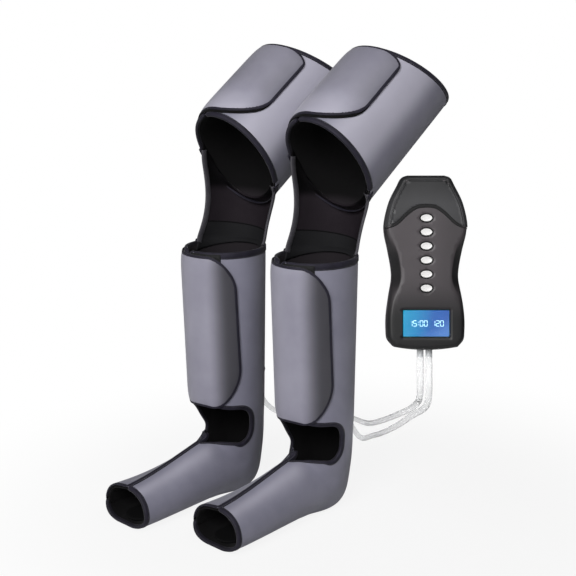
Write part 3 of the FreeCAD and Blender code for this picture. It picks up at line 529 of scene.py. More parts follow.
class Wardrobe:
    """Every material of the set, made once."""

    def __init__(self) -> None:
        """Builds the finishes."""
        finishes = (
            WovenFinish("cover_fabric", "8c8b9b", "7b7a8a"),
            WovenFinish("flap_fabric", "a3a1b0", "9391a1", roughness=0.46),
            TapeFinish("binding_tape"),
            TapeFinish("knee_tape", "656369", "434147"),
            KneeLiningFinish("knee_lining"),
            KnitFinish("lining_fabric", "0b0a0c", "050405", course=1.2, relief=0.00010, sheen=0.03),
            KnitFinish("knee_elastic", "332e35", "221f25", course=2.2, relief=0.0003, sheen=0.2),
            # The insole is near black, as painted shade inside the toe opening.
            KnitFinish("insole_fabric", "060607", "030304", course=1.4, sheen=0.0),
            HookFinish("hook_tape"),
            ThreadFinish("sewing_thread"),
            MouldedFinish("case_plastic", "454043", "4d484b", 0.5),
            MouldedFinish("hood_plastic", "3e3e40", "464649", 0.52),
            MouldedFinish("well_plastic", "040405", "080809", 0.75),
            MouldedFinish("key_plastic", "e4e3e2", "ecebea", 0.36, coat=0.2),
            MouldedFinish("port_plastic", "17171a", "202024", 0.45),
            MouldedFinish("nozzle_plastic", "dfe2e4", "eaecee", 0.35),
            MouldedFinish("pad_rubber", "141416", "1d1d20", 0.7, grain=0.0001),
            MouldedFinish("pump_plastic", "1d1e20", "27282b", 0.5),
            MouldedFinish("board_resist", "0d4a24", "135a2f", 0.35),
            MouldedFinish("mill_steel", "8d8f93", "a3a5a8", 0.3, metal=1.0, grain_scale=4000.0),
            SiliconeFinish("hose_silicone"),
            GlassFinish("window_glass"),
            ScreenFinish("display_light"),
            DigitFinish("display_digits"),
        )
        self._made = {finish.name: finish.build() for finish in finishes}

    def __getitem__(self, name: str) -> bpy.types.Material:
        """The material called name."""
        return self._made[name]


# ---- sheets ----------------------------------------------------------------------------------
def smooth(t: np.ndarray | float) -> np.ndarray:
    """Smooth step of values held to 0..1."""
    t = np.clip(t, 0.0, 1.0)
    return t * t * (3.0 - 2.0 * t)


def rounded_corner(first: np.ndarray, second: np.ndarray, radius: float | np.ndarray) -> np.ndarray:
    """Distance outside the corner where two half-spaces meet, rounded by radius."""
    a = first + radius
    b = second + radius
    outside = np.hypot(np.maximum(a, 0.0), np.maximum(b, 0.0))
    return np.minimum(np.maximum(a, b), 0.0) + outside - radius


def oval_corner(across: np.ndarray, rise: np.ndarray, size: tuple[float, float]) -> np.ndarray:
    """Distance outside a corner that is rounded by an oval of this width and height."""
    return rounded_corner(across, rise * (size[0] / size[1]), size[0])


def run_length(points: np.ndarray) -> np.ndarray:
    """Length along a line at each of its points."""
    return np.concatenate([[0.0], np.cumsum(np.linalg.norm(np.diff(points, axis=0), axis=1))])


def row_length(rows: np.ndarray) -> np.ndarray:
    """Length along each row of a grid of points (rows, columns, 3)."""
    step = np.linalg.norm(np.diff(rows, axis=1), axis=2)
    return np.concatenate([np.zeros((len(rows), 1)), np.cumsum(step, axis=1)], axis=1)


def unit(rows: np.ndarray) -> np.ndarray:
    """Rows scaled to length 1."""
    return rows / np.linalg.norm(rows, axis=1, keepdims=True)


def square_to(rows: np.ndarray, along: np.ndarray) -> np.ndarray:
    """Rows made square to unit directions and scaled to length 1."""
    return unit(rows - along * np.sum(rows * along, 1, keepdims=True))


def eased(loop: np.ndarray) -> np.ndarray:
    """A closed row of points, each drawn towards its two neighbours."""
    return (np.roll(loop, 1, 0) + 2.0 * loop + np.roll(loop, -1, 0)) / 4.0


def loop_headings(loop: np.ndarray) -> np.ndarray:
    """Direction of a closed line at each of its points."""
    return unit(np.roll(loop, -1, 0) - np.roll(loop, 1, 0))


def upright(line: np.ndarray, y: float | np.ndarray) -> np.ndarray:
    """A line of (x, z) as points at a depth."""
    return np.column_stack([line[:, 0], np.broadcast_to(y, len(line)), line[:, 1]])


def oval(turn: np.ndarray, half_w: float | np.ndarray, half_d: float | np.ndarray,
         y: float = 0.0, z: float | np.ndarray = 0.0) -> np.ndarray:
    """Points of a level oval with its middle at y, at angles from the front towards +X."""
    return np.column_stack([half_w * np.sin(turn), y - half_d * np.cos(turn),
                            np.broadcast_to(z, len(turn))])


def nearest_tree(points: Sequence[np.ndarray]) -> KDTree:
    """Search tree over points."""
    tree = KDTree(len(points))
    for i, point in enumerate(points):
        tree.insert(point, i)
    tree.balance()
    return tree


def only_used(faces: Faces) -> tuple[list[int], Faces]:
    """Vertex numbers that faces use, and the faces renumbered to them."""
    used = sorted({i for face in faces for i in face})
    place = {old: new for new, old in enumerate(used)}
    return used, [tuple(place[i] for i in face) for face in faces]


def band(first: int, second: int, count: int) -> Faces:
    """Quads between two rings of count vertices, from the numbers of their first vertices."""
    faces = []
    for i in range(count):
        j = (i + 1) % count
        faces.append((first + i, first + j, second + j, second + i))
    return faces


def bands(rows: int, count: int) -> Faces:
    """Quads between each ring of count vertices and the next."""
    return [face for k in range(rows - 1) for face in band(k * count, (k + 1) * count, count)]


def tube(rows: Sequence[np.ndarray]) -> tuple[list, Faces]:
    """Points and faces of stacked rings with closed ends."""
    count = len(rows[0])
    faces = bands(len(rows), count)
    faces.append(tuple(range(count)))
    faces.append(tuple(range((len(rows) - 1) * count, len(rows) * count)))
    return np.vstack(rows).tolist(), faces


def add_object(name: str, data: bpy.types.ID) -> bpy.types.Object:
    """Makes an object of its data and links it to the scene."""
    made = bpy.data.objects.new(name, data)
    bpy.context.scene.collection.objects.link(made)
    return made


def face_outward(piece: bpy.types.Object) -> None:
    """Points a closed piece's faces outwards."""
    work = bmesh.new()
    work.from_mesh(piece.data)
    bmesh.ops.recalc_face_normals(work, faces=work.faces)
    work.to_mesh(piece.data)
    work.free()


def paint_shade(mesh: bpy.types.Mesh, shade: np.ndarray) -> None:
    """Notes the painted shade of a mesh at each vertex; below 0 it is a painted highlight."""
    layer = mesh.attributes.new("shade", "FLOAT", "POINT")
    layer.data.foreach_set("value", np.asarray(shade, dtype=np.float32))


class Skin:
    """An open surface of polygons with a fabric coordinate at each vertex, in millimetres."""

    def __init__(self, points: np.ndarray, faces: Faces, cloth: np.ndarray) -> None:
        """Holds points (n, 3), faces and fabric coordinates (n, 2)."""
        self.points = points
        self.faces = faces
        self.cloth = cloth
        self._normals: np.ndarray | None = None

    @classmethod
    def grid(cls, points: np.ndarray, cloth: np.ndarray) -> "Skin":
        """Skin of a grid whose rows run along and whose columns run across."""
        rows, columns = points.shape[:2]
        index = np.arange(rows * columns).reshape(rows, columns)
        quads = np.stack([index[:-1, :-1], index[:-1, 1:], index[1:, 1:], index[1:, :-1]], -1)
        return cls(points.reshape(-1, 3), [tuple(q) for q in quads.reshape(-1, 4).tolist()],
                   cloth.reshape(-1, 2))

    def flipped(self) -> "Skin":
        """The same skin seen from its other side."""
        return Skin(self.points, [face[::-1] for face in self.faces], self.cloth)

    def raised(self, height: np.ndarray) -> "Skin":
        """The same skin with each point moved by a height along its normal."""
        return Skin(self.points + self.normals * height[:, None], self.faces, self.cloth)

    def trimmed(self, *fields: Field) -> "Skin":
        """What is left of the skin where every field is negative.

        Args:
            fields: functions of points, negative where the skin is kept.

        Returns:
            A new skin whose edge follows the fields' zero lines.
        """
        skin = self
        for keep in fields:
            skin = skin._trimmed_once(keep)
        return skin

    def _trimmed_once(self, keep: Field) -> "Skin":
        """Clips each face by one field."""
        value = keep(self.points)
        value = np.where(np.abs(value) < 1e-5, -1e-5, value)
        inside = value < 0.0
        points = list(self.points)
        cloth = list(self.cloth)
        cuts: dict[tuple[int, int], int] = {}
        faces = []
        for face in self.faces:
            held = [inside[i] for i in face]
            if all(held):
                faces.append(face)
                continue
            if not any(held):
                continue
            clipped = []
            for i, j in zip(face, face[1:] + face[:1]):
                if inside[i]:
                    clipped.append(i)
                if inside[i] != inside[j]:
                    key = (min(i, j), max(i, j))
                    if key not in cuts:
                        t = value[key[0]] / (value[key[0]] - value[key[1]])
                        cuts[key] = len(points)
                        points.append(points[key[0]] * (1.0 - t) + points[key[1]] * t)
                        cloth.append(cloth[key[0]] * (1.0 - t) + cloth[key[1]] * t)
                    clipped.append(cuts[key])
            if len(clipped) > 2:
                faces.append(tuple(clipped))
        used, faces = only_used(faces)
        return Skin(np.array(points)[used], faces, np.array(cloth)[used])

    @property
    def normals(self) -> np.ndarray:
        """Vertex normals, weighted by area."""
        if self._normals is None:
            total = np.zeros_like(self.points)
            for count in {len(face) for face in self.faces}:
                group = np.array([face for face in self.faces if len(face) == count])
                corner = self.points[group]
                area = np.zeros((len(group), 3))
                for k in range(1, count - 1):
                    area += np.cross(corner[:, k] - corner[:, 0], corner[:, k + 1] - corner[:, 0])
                for k in range(count):
                    np.add.at(total, group[:, k], area)
            length = np.linalg.norm(total, axis=1, keepdims=True)
            self._normals = total / np.maximum(length, 1e-12)
        return self._normals

    def boundary(self) -> list[tuple[int, int]]:
        """Edges used by one face, in the face's direction."""
        seen: dict[tuple[int, int], int] = {}
        for face in self.faces:
            for i, j in zip(face, face[1:] + face[:1]):
                seen[(i, j)] = seen.get((i, j), 0) + 1
        return [edge for edge in seen if (edge[1], edge[0]) not in seen]

    def loops(self) -> list[list[int]]:
        """Closed boundary loops as vertex numbers, the longest first."""
        after: dict[int, list[int]] = {}
        for i, j in self.boundary():
            after.setdefault(i, []).append(j)
        loops = []
        while after:
            start = next(iter(after))
            loop = [start]
            while True:
                here = loop[-1]
                if here not in after:
                    break
                step = after[here].pop()
                if not after[here]:
                    del after[here]
                if step == start:
                    break
                loop.append(step)
            if len(loop) > 8:
                loops.append(loop)
        return sorted(loops, key=len, reverse=True)

    def edge_distance(self) -> np.ndarray:
        """Distance of each vertex from the boundary."""
        rim = sorted({i for edge in self.boundary() for i in edge})
        tree = nearest_tree(self.points[rim])
        return np.array([tree.find(p)[2] for p in self.points])


@dataclass
class Wall:
    """How a skin gets its thickness: offsets along its normals, in millimetres."""

    outer: float = 0.0
    inner: float = -7.0
    rim_outer: float = -0.4
    rim_inner: float = -4.6
    swell: float = 0.0
    fade: float = 16.0

    def offsets(self, skin: Skin) -> tuple[np.ndarray, np.ndarray]:
        """Outer and inner offset of each vertex."""
        t = 1.0 - np.exp(-skin.edge_distance() / self.fade * 2.2)
        outer = self.rim_outer + (self.outer + self.swell - self.rim_outer) * t
        inner = self.rim_inner + (self.inner - self.rim_inner) * t
        return outer, inner


class Sewing:
    """Turns skins into meshes in the shared frame."""

    @staticmethod
    def mesh(name: str, points: np.ndarray, faces: Sequence[Sequence[int]], cloth: np.ndarray,
             materials: Sequence[bpy.types.Material], slots: Sequence[int] | None = None,
             soft: bool = True, shade: np.ndarray | None = None) -> bpy.types.Object:
        """Makes an object.

        Args:
            name: the piece's name.
            points: vertices in millimetres, already in the shared frame.
            faces: vertex numbers of each face.
            cloth: fabric coordinates of each vertex, in millimetres.
            materials: its materials.
            slots: each face's material number.
            soft: whether the faces are shaded smooth.
            shade: painted shade at each vertex, mostly from 0 to 1; below 0 a painted highlight.

        Returns:
            The new object at the origin.
        """
        data = bpy.data.meshes.new(name)
        data.from_pydata((points * MM).tolist(), [], [tuple(face) for face in faces])
        for material in materials:
            data.materials.append(material)
        if slots is not None:
            data.polygons.foreach_set("material_index", np.array(slots, dtype=np.int32))
        data.polygons.foreach_set("use_smooth", np.full(len(faces), soft))
        layer = data.uv_layers.new(name="fabric")
        corner = np.zeros(len(data.loops), dtype=np.int32)
        data.loops.foreach_get("vertex_index", corner)
        layer.data.foreach_set("uv", (cloth[corner] * MM).astype(np.float32).ravel())
        if shade is not None:
            paint_shade(data, shade)
        data.validate()
        data.update()
        return add_object(name, data)

    @staticmethod
    def shell(name: str, skin: Skin, wall: Wall, place: "Place",
              materials: Sequence[bpy.types.Material], floor: float | None = None,
              shade: np.ndarray | None = None) -> bpy.types.Object:
        """Closed padded sheet: the skin's outer and inner faces joined round the rim."""
        outer, inner = wall.offsets(skin)
        count = len(skin.points)
        far = skin.points + skin.normals * outer[:, None]
        near = skin.points + skin.normals * inner[:, None]
        if floor is not None:
            far[:, 2] = np.maximum(far[:, 2], floor)
        points = np.vstack([far, near])
        faces = list(skin.faces)
        faces += [tuple(i + count for i in face[::-1]) for face in skin.faces]
        faces += [(j, i, i + count, j + count) for i, j in skin.boundary()]
        hidden = len(faces) - len(skin.faces)
        slots = [0] * len(skin.faces) + [min(1, len(materials) - 1)] * hidden
        return Sewing.mesh(name, place.points(points), faces, np.vstack([skin.cloth, skin.cloth]),
                           materials, slots,
                           shade=None if shade is None else np.resize(shade, 2 * count))


class Place:
    """A rigid placement: a turn about X, then about Z, then a move, in millimetres."""

    def __init__(self, base: Sequence[float], about_x: float = 0.0, about_z: float = 0.0) -> None:
        """Angles in degrees."""
        a, b = math.radians(about_x), math.radians(about_z)
        lean = np.array([[1, 0, 0], [0, math.cos(a), -math.sin(a)], [0, math.sin(a), math.cos(a)]])
        turn = np.array([[math.cos(b), -math.sin(b), 0], [math.sin(b), math.cos(b), 0], [0, 0, 1]])
        self.turn = turn @ lean
        self.base = np.array(base, float)

    def points(self, points: np.ndarray) -> np.ndarray:
        """Points moved by the placement."""
        return np.asarray(points, float) @ self.turn.T + self.base

    def after(self, inner: "Place") -> "Place":
        """The placement that applies inner first and then this one."""
        made = Place((0, 0, 0))
        made.turn = self.turn @ inner.turn
        made.base = self.points(inner.base[None])[0]
        return made


@dataclass
class Tape:
    """Binding folded over the rim of a sheet."""

    width: float = 6.0
    proud: float = 0.9
    lip: float = 1.5
    spacing: float = 2.5

    def path(self, skin: Skin, loop: list[int]) -> tuple[np.ndarray, ...]:
        """Evenly spaced rim points with their normals, inward directions and tangents."""
        rim = skin.points[loop]
        closed = np.vstack([rim, rim[:1]])
        length = run_length(closed)
        count = max(16, int(length[-1] / self.spacing))
        where = np.linspace(0.0, length[-1], count, endpoint=False)
        points = np.stack([np.interp(where, length, closed[:, k]) for k in range(3)], 1)
        tree = nearest_tree(skin.points)
        normals = []
        for point in points:
            found = tree.find_n(point, 8)
            normals.append(np.mean([skin.normals[i] for _, i, _ in found], axis=0))
        normals = np.array(normals)
        for _ in range(3):
            points, normals = eased(points), eased(normals)
        tangents = loop_headings(points)
        normals = square_to(normals, tangents)
        return points, normals, np.cross(normals, tangents), tangents

    def section(self, wall: Wall) -> np.ndarray:
        """Closed cross-section as (inward, normal) pairs."""
        top = wall.rim_outer
        low = wall.rim_inner
        middle = (top + low) / 2.0
        w, h, e = self.width, self.proud, self.lip
        return np.array([
            (w, top - 0.6), (w + 0.1, top + h * 0.55), (w - 0.7, top + h * 0.95),
            (w * 0.5, top + h), (0.6, top + h * 0.9), (-e * 0.7, top + h * 0.1), (-e, middle + 0.8),
            (-e, middle - 0.8), (-e * 0.7, low - h * 0.1), (0.6, low - h * 0.9),
            (w * 0.5, low - h), (w - 0.7, low - h * 0.95), (w + 0.1, low - h * 0.55),
            (w, low + 0.6)])


@dataclass
class Seam:
    """Points of a row of stitches with their directions, in the shared frame."""

    points: list[np.ndarray] = field(default_factory=list)
    tangents: list[np.ndarray] = field(default_factory=list)

    def add(self, points: np.ndarray, tangents: np.ndarray) -> None:
        """Adds stitches."""
        self.points.append(points)
        self.tangents.append(tangents)


class StitchMachine:
    """Sews rows of stitches with Geometry Nodes, one mesh for each body."""

    length = 0.0026
    radius = 0.00032
    seed = 7

    def __init__(self, material: bpy.types.Material) -> None:
        """Builds the node tree."""
        self.tree = bpy.data.node_groups.new("stitches", "GeometryNodeTree")
        self._build(material)

    def _build(self, material: bpy.types.Material) -> None:
        """Adds the tree's sockets and nodes."""
        face = self.tree.interface
        face.new_socket("Geometry", in_out="INPUT", socket_type="NodeSocketGeometry")
        for label, default in (("Stitch Length", self.length), ("Thread Radius", self.radius)):
            socket = face.new_socket(label, in_out="INPUT", socket_type="NodeSocketFloat")
            socket.default_value = default
        seed = face.new_socket("Seed", in_out="INPUT", socket_type="NodeSocketInt")
        seed.default_value = self.seed
        cloth = face.new_socket("Thread", in_out="INPUT", socket_type="NodeSocketMaterial")
        cloth.default_value = material
        face.new_socket("Geometry", in_out="OUTPUT", socket_type="NodeSocketGeometry")
        g = Graph(self.tree)
        source = g.node("NodeGroupInput", {}, {})
        thread = g.node("GeometryNodeMeshCylinder", {}, {
            "Vertices": 6, "Radius": source.out("Thread Radius"),
            "Depth": source.out("Stitch Length")})
        heading = g.node("GeometryNodeInputNamedAttribute", {"data_type": "FLOAT_VECTOR"},
                         {"Name": "heading"})
        turn = g.node("FunctionNodeAlignRotationToVector", {"axis": "Z"},
                      {"Vector": heading.out("Attribute")})
        vary = g.node("FunctionNodeRandomValue", {"data_type": "FLOAT"},
                      {2: 0.92, 3: 1.08, "Seed": source.out("Seed")})
        placed = g.node("GeometryNodeInstanceOnPoints", {}, {
            "Points": source.out("Geometry"), "Instance": thread.out("Mesh"),
            "Rotation": turn.out("Rotation"), "Scale": vary.out(1)})
        real = g.node("GeometryNodeRealizeInstances", {}, {"Geometry": placed.out("Instances")})
        dyed = g.node("GeometryNodeSetMaterial", {}, {
            "Geometry": real.out("Geometry"), "Material": source.out("Thread")})
        g.node("NodeGroupOutput", {}, {"Geometry": dyed.out("Geometry")})

    def sew(self, name: str, seam: Seam) -> bpy.types.Object:
        """Turns a seam's points into stitches as a plain mesh."""
        points = np.vstack(seam.points)
        base = bpy.data.meshes.new(name + "_points")
        base.from_pydata((points * MM).tolist(), [], [])
        heading = base.attributes.new("heading", "FLOAT_VECTOR", "POINT")
        heading.data.foreach_set("vector", np.vstack(seam.tangents).astype(np.float32).ravel())
        carrier = add_object(name + "_points", base)
        modifier = carrier.modifiers.new("stitches", "NODES")
        modifier.node_group = self.tree
        sockets = {item.name: item.identifier for item in self.tree.interface.items_tree
                   if item.in_out == "INPUT"}
        modifier[sockets["Stitch Length"]] = self.length
        modifier[sockets["Seed"]] = self.seed
        graph = bpy.context.evaluated_depsgraph_get()
        mesh = bpy.data.meshes.new_from_object(carrier.evaluated_get(graph))
        bpy.data.objects.remove(carrier)
        mesh.name = name
        mesh.polygons.foreach_set("use_smooth", np.full(len(mesh.polygons), True))
        return add_object(name, mesh)


class Inflator:
    """Swells a padded shell with Cloth, its rim held, and caps how far a point may move."""

    def __init__(self, pressure: float = 4.0, frames: int = 14) -> None:
        """Pressure and the number of frames to step."""
        self.pressure = pressure
        self.frames = frames

    def swell(self, piece: bpy.types.Object, held: np.ndarray, cap: np.ndarray) -> None:
        """Runs the simulation on a copy and takes its capped result.

        Args:
            piece: the shell to swell; its mesh is changed.
            held: 1 where a vertex is sewn down and 0 where it is free.
            cap: how far each vertex may move, in metres.
        """
        scene = bpy.context.scene
        copy = add_object(piece.name + "_sim", piece.data.copy())
        group = copy.vertex_groups.new(name="sewn")
        for i, weight in enumerate(held):
            if weight > 0.0:
                group.add([i], float(weight), "REPLACE")
        cloth = copy.modifiers.new("air", "CLOTH")
        settings = cloth.settings
        settings.vertex_group_mass = "sewn"
        settings.quality = 4
        settings.mass = 0.25
        settings.tension_stiffness = 12.0
        settings.compression_stiffness = 12.0
        settings.bending_stiffness = 4.0
        settings.use_pressure = True
        settings.uniform_pressure_force = self.pressure
        settings.effector_weights.gravity = 0.0
        cloth.collision_settings.use_collision = False
        cloth.point_cache.frame_start = 1
        cloth.point_cache.frame_end = self.frames
        for step in range(1, self.frames + 1):
            scene.frame_set(step)
        graph = bpy.context.evaluated_depsgraph_get()
        result = copy.evaluated_get(graph).data
        count = len(piece.data.vertices)
        before = np.zeros(count * 3)
        after = np.zeros(count * 3)
        piece.data.vertices.foreach_get("co", before)
        result.vertices.foreach_get("co", after)
        before = before.reshape(-1, 3)
        move = after.reshape(-1, 3) - before
        reach = np.linalg.norm(move, axis=1)
        share = cap * np.tanh(reach / np.maximum(cap, 1e-9)) / np.maximum(reach, 1e-9)
        piece.data.vertices.foreach_set("co", (before + move * share[:, None]).ravel())
        piece.data.update()
        scene.frame_set(1)
        bpy.data.objects.remove(copy)


def dress(piece: bpy.types.Object, body: str, slot: str, *nodes: str) -> bpy.types.Object:
    """Puts a piece on its body, hides the nodes that it stands for, and logs it."""
    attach(piece, body)
    if nodes:
        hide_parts(*nodes)
    log.info("%-28s %7d faces on %s", piece.name, len(piece.data.polygons), body)
    return piece


# ---- a leg wrap ------------------------------------------------------------------------------
@dataclass(frozen=True)
class FootSection:
    """Upright section of the foot.

    Its place and size come first. Then come the arch's peak, how much more peaked it is on the -X
    side, and how far its roof falls there.
    """

    y: float
    half_w: float
    height: float
    peak: float
    lean: float
    roof: float

    def ring(self, count: int) -> np.ndarray:
        """Closed section as (x, z) pairs, rounded off low on the +X side."""
        angle = np.linspace(0.0, FULL_TURN, count, endpoint=False)
        c, s = np.cos(angle), np.sin(angle)
        off = (s < 0.0) & (c > 0.0)
        x = self.half_w * np.copysign(np.abs(c) ** np.where(off, 0.95, 0.8), c)
        above = 0.4 + 0.6 * np.abs(s) ** (self.peak + np.where(c < 0.0, self.lean, 0.0))
        below = 0.4 - 0.4 * np.abs(s) ** np.where(off, 0.95, 0.55)
        low = -0.8
        z = low + (self.height - low) * np.where(s > 0.0, above, below)
        fall = np.sin(math.pi * np.clip(-x / self.half_w / 0.87, 0.0, 1.0) ** 0.7)
        return np.stack([x, z - np.where(s > 0.0, self.roof * fall, 0.0)], 1)


@dataclass
class LegForm:
    """The closed shape of the lower leg and foot that the wrap is cut from."""

    pivot: tuple[float, float] = (-64.0, 112.0)
    reach: float = 66.0
    outside: float = 300.0
    columns: int = 132
    foot: tuple[FootSection, ...] = (
        FootSection(-211.5, 49.0, 64.0, 0.9, 0.0, 0.0),
        FootSection(-130.0, 48.5, 80.0, 1.15, 0.6, 12.0),
        FootSection(-58.0, 46.0, 100.0, 1.35, 0.9, 12.0),
        FootSection(0.0, 47.0, 112.0, 1.35, 0.6, 8.4))

    @staticmethod
    def calf_size(z: np.ndarray | float) -> tuple:
        """Half-width, half-depth and centre y of the calf at a height."""
        t = (np.asarray(z, float) - CALF_BOTTOM[2]) / (CALF_TOP[2] - CALF_BOTTOM[2])
        a, b = (CALF_BOTTOM[k] + t * (CALF_TOP[k] - CALF_BOTTOM[k]) for k in (0, 1))
        return a, b, CALF_BOTTOM_Y * (1.0 - t)

    def _foot_mesh(self) -> tuple[list, list]:
        """Smooth loft through the foot's four sections."""
        stations = np.array([section.y for section in self.foot])
        shapes = [section.ring(96) for section in self.foot]
        ys = np.linspace(stations[0], stations[-1], 60)
        rows = []
        for y in ys:
            weights = [np.prod([(y - stations[j]) / (stations[i] - stations[j])
                                for j in range(4) if j != i]) for i in range(4)]
            shape = sum(w * s for w, s in zip(weights, shapes))
            rows.append(upright(shape, y))
        return tube(rows)

    def _leg_mesh(self) -> tuple[list, list]:
        """Heel, ankle and calf as a stack of ovals."""
        levels = ((27.0, 38.0, 4.0, 0.0), (35.5, 46.5, 4.0, 6.5), (42.0, 53.0, 4.0, 20.0),
                  (51.0, 57.5, 4.0, 80.0), (*CALF_BOTTOM[:2], CALF_BOTTOM_Y, CALF_BOTTOM[2]),
                  (*CALF_TOP[:2], 0.0, CALF_TOP[2] + 5.0))
        turn = np.linspace(0.0, FULL_TURN, 128, endpoint=False)
        return tube([oval(turn, *level) for level in levels])

    def rings(self) -> tuple[np.ndarray, np.ndarray]:
        """Rings of the wrap from the calf's rim to the toes.

        Returns:
            The points (rows, columns, 3), front first and turning towards +X, and how far along
            the wrap each row lies.
        """
        trees = [BVHTree.FromPolygons(*self._foot_mesh()), BVHTree.FromPolygons(*self._leg_mesh())]
        y0, z0 = self.pivot
        stops: list[tuple[float, float, float]] = []
        for z in np.linspace(CALF_TOP[2], z0, 88):
            stops.append((float(self.calf_size(max(z, CALF_BOTTOM[2]))[2]), float(z), 0.0))
        for theta in np.linspace(0.0, 90.0, 34)[1:]:
            t = math.radians(theta)
            rho = self.reach + 1.0 * (1.0 - theta / 90.0)
            stops.append((y0 + rho * math.cos(t), z0 - rho * math.sin(t), theta))
        last = z0 - self.reach
        for y in np.linspace(y0, TOE_Y, 52)[1:]:
            share = (y - y0) / (TOE_Y - y0)
            stops.append((float(y), last + (25.0 - last) * share, 90.0))
        turn = np.linspace(0.0, FULL_TURN, self.columns, endpoint=False)
        radius = np.zeros((len(stops), self.columns))
        headings = np.zeros((len(stops), self.columns, 3))
        centres = np.zeros((len(stops), 3))
        for row, (y, z, theta) in enumerate(stops):
            t = math.radians(theta)
            outward = np.array([0.0, math.cos(t), -math.sin(t)])
            centres[row] = (0.0, y, z)
            for column, phi in enumerate(turn):
                heading = np.array([math.sin(phi), 0.0, 0.0]) - math.cos(phi) * outward
                headings[row, column] = heading
                far = Vector(centres[row] + heading * self.outside)
                best = 0.0
                for tree in trees:
                    hit = tree.ray_cast(far, Vector(-heading))
                    if hit[0] is not None:
                        best = max(best, self.outside - hit[3])
                radius[row, column] = best
        radius = self._blended(radius)
        points = centres[:, None] + headings * radius[..., None]
        points[..., 2] = np.maximum(points[..., 2], 0.0)
        quarter = self.columns // 4
        spine = points[:, [quarter, 2 * quarter, 3 * quarter]].mean(axis=1)
        return points, run_length(spine)

    @staticmethod
    def _blended(radius: np.ndarray) -> np.ndarray:
        """Softens the creases of the ankle and the foot; the calf keeps its straight taper."""
        soft = radius.copy()
        for _ in range(10):
            padded = np.pad(soft, ((1, 1), (0, 0)), "edge")
            soft = 0.25 * padded[:-2] + 0.5 * soft + 0.25 * padded[2:]
            soft = 0.25 * np.roll(soft, 1, 1) + 0.5 * soft + 0.25 * np.roll(soft, -1, 1)
        share = smooth((np.arange(len(radius)) - 74.0) / 12.0)[:, None]
        toe = smooth((len(radius) - 1.0 - np.arange(len(radius))) / 6.0)[:, None]
        share = share * (0.35 + 0.65 * toe)
        return radius * (1.0 - share) + soft * share


@dataclass
class LegShape:
    """The rings of the leg form as skins, cut open along the wrap's slit."""

    form: LegForm

    def __post_init__(self) -> None:
        """Computes the rings once for both legs."""
        self.points, self.along = self.form.rings()

    def skin(self, shift: int = 0) -> Skin:
        """The whole form as one skin whose seam lies shift columns from the slit."""
        ring = np.roll(self.points, -shift, axis=1)
        ring = np.concatenate([ring, ring[:, :1]], axis=1)
        across = row_length(ring)
        across -= across[:, ring.shape[1] // 2][:, None]
        along = np.repeat(self.along[:, None], ring.shape[1], axis=1)
        return Skin.grid(ring, np.stack([across, along], -1)).flipped()


@dataclass
class CalfFlapPlan:
    """Outline of the calf flap: angles of its edges, its drop below the rim and its corners."""

    root: float = -60.0
    free: float = 62.0
    drop: float = 5.0
    upper: tuple[float, float] = (30.0, 52.0)
    lower: tuple[float, float] = (31.0, 70.0)


@dataclass
class ThighPlan:
    """Sizes of the thigh cuff in its own frame."""

    knee: tuple[float, float] = (-9.4, 509.7)
    angle: float = 36.0
    half_w: float = 73.0
    half_d: float = 87.3
    start: float = 41.0
    end: float = 248.0
    rim_tilt: float = 2.0
    end_tilt: float = 22.0
    flap_root: float = -50.0
    flap_free: float = 44.0
    flap_start: float = 54.0
    flap_drop: float = 3.0
    flap_lower: tuple[float, float] = (52.0, 62.0)
    flap_upper: tuple[float, float] = (30.0, 24.0)

    def low(self, y: np.ndarray) -> np.ndarray:
        """Height of the knee end at a depth."""
        return self.start - y * math.tan(math.radians(self.rim_tilt))

    def high(self, y: np.ndarray) -> np.ndarray:
        """Height of the top end at a depth."""
        return self.end + y * math.tan(math.radians(self.end_tilt))


def ray_radius(a: float, b: float, y: float, angle: np.ndarray) -> np.ndarray:
    """Distance from the axis to an oval centred at y, along angles from the front towards +X."""
    s, c = np.sin(angle), -np.cos(angle)
    qa = (s / a) ** 2 + (c / b) ** 2
    qb = -2.0 * c * y / b ** 2
    qc = (y / b) ** 2 - 1.0
    return (-qb + np.sqrt(qb * qb - 4.0 * qa * qc)) / (2.0 * qa)


def polar(points: np.ndarray) -> np.ndarray:
    """Angle of points about the upright axis, in degrees from the front towards +X."""
    return np.degrees(np.arctan2(points[:, 0], -points[:, 1]))


def full_turn(points: np.ndarray) -> np.ndarray:
    """Angle of points as polar gives it, counted from 0 to 360 degrees."""
    return (polar(points) + 360.0) % 360.0


def turned_from(points: np.ndarray, angle: float) -> np.ndarray:
    """Angle of points past the given one, from -180 to 180 degrees."""
    return (polar(points) - angle + 180.0) % 360.0 - 180.0


def arc(points: np.ndarray, turn: np.ndarray) -> np.ndarray:
    """Length that a turn in degrees makes at each point's distance from the upright axis."""
    return turn * math.pi / 180.0 * np.hypot(points[:, 0], points[:, 1])


def knee_level(points: np.ndarray) -> np.ndarray:
    """Height over the calf's rim, tilted a little towards the viewer, in millimetres."""
    return points[:, 2] - 400.0 + 0.079 * points[:, 0] + 0.077 * points[:, 1]


def turned_across(points: np.ndarray, middle: float) -> np.ndarray:
    """Sideways coordinate of points, seen from the angle middle."""
    t = math.radians(middle)
    return points[:, 0] * math.cos(t) + points[:, 1] * math.sin(t)


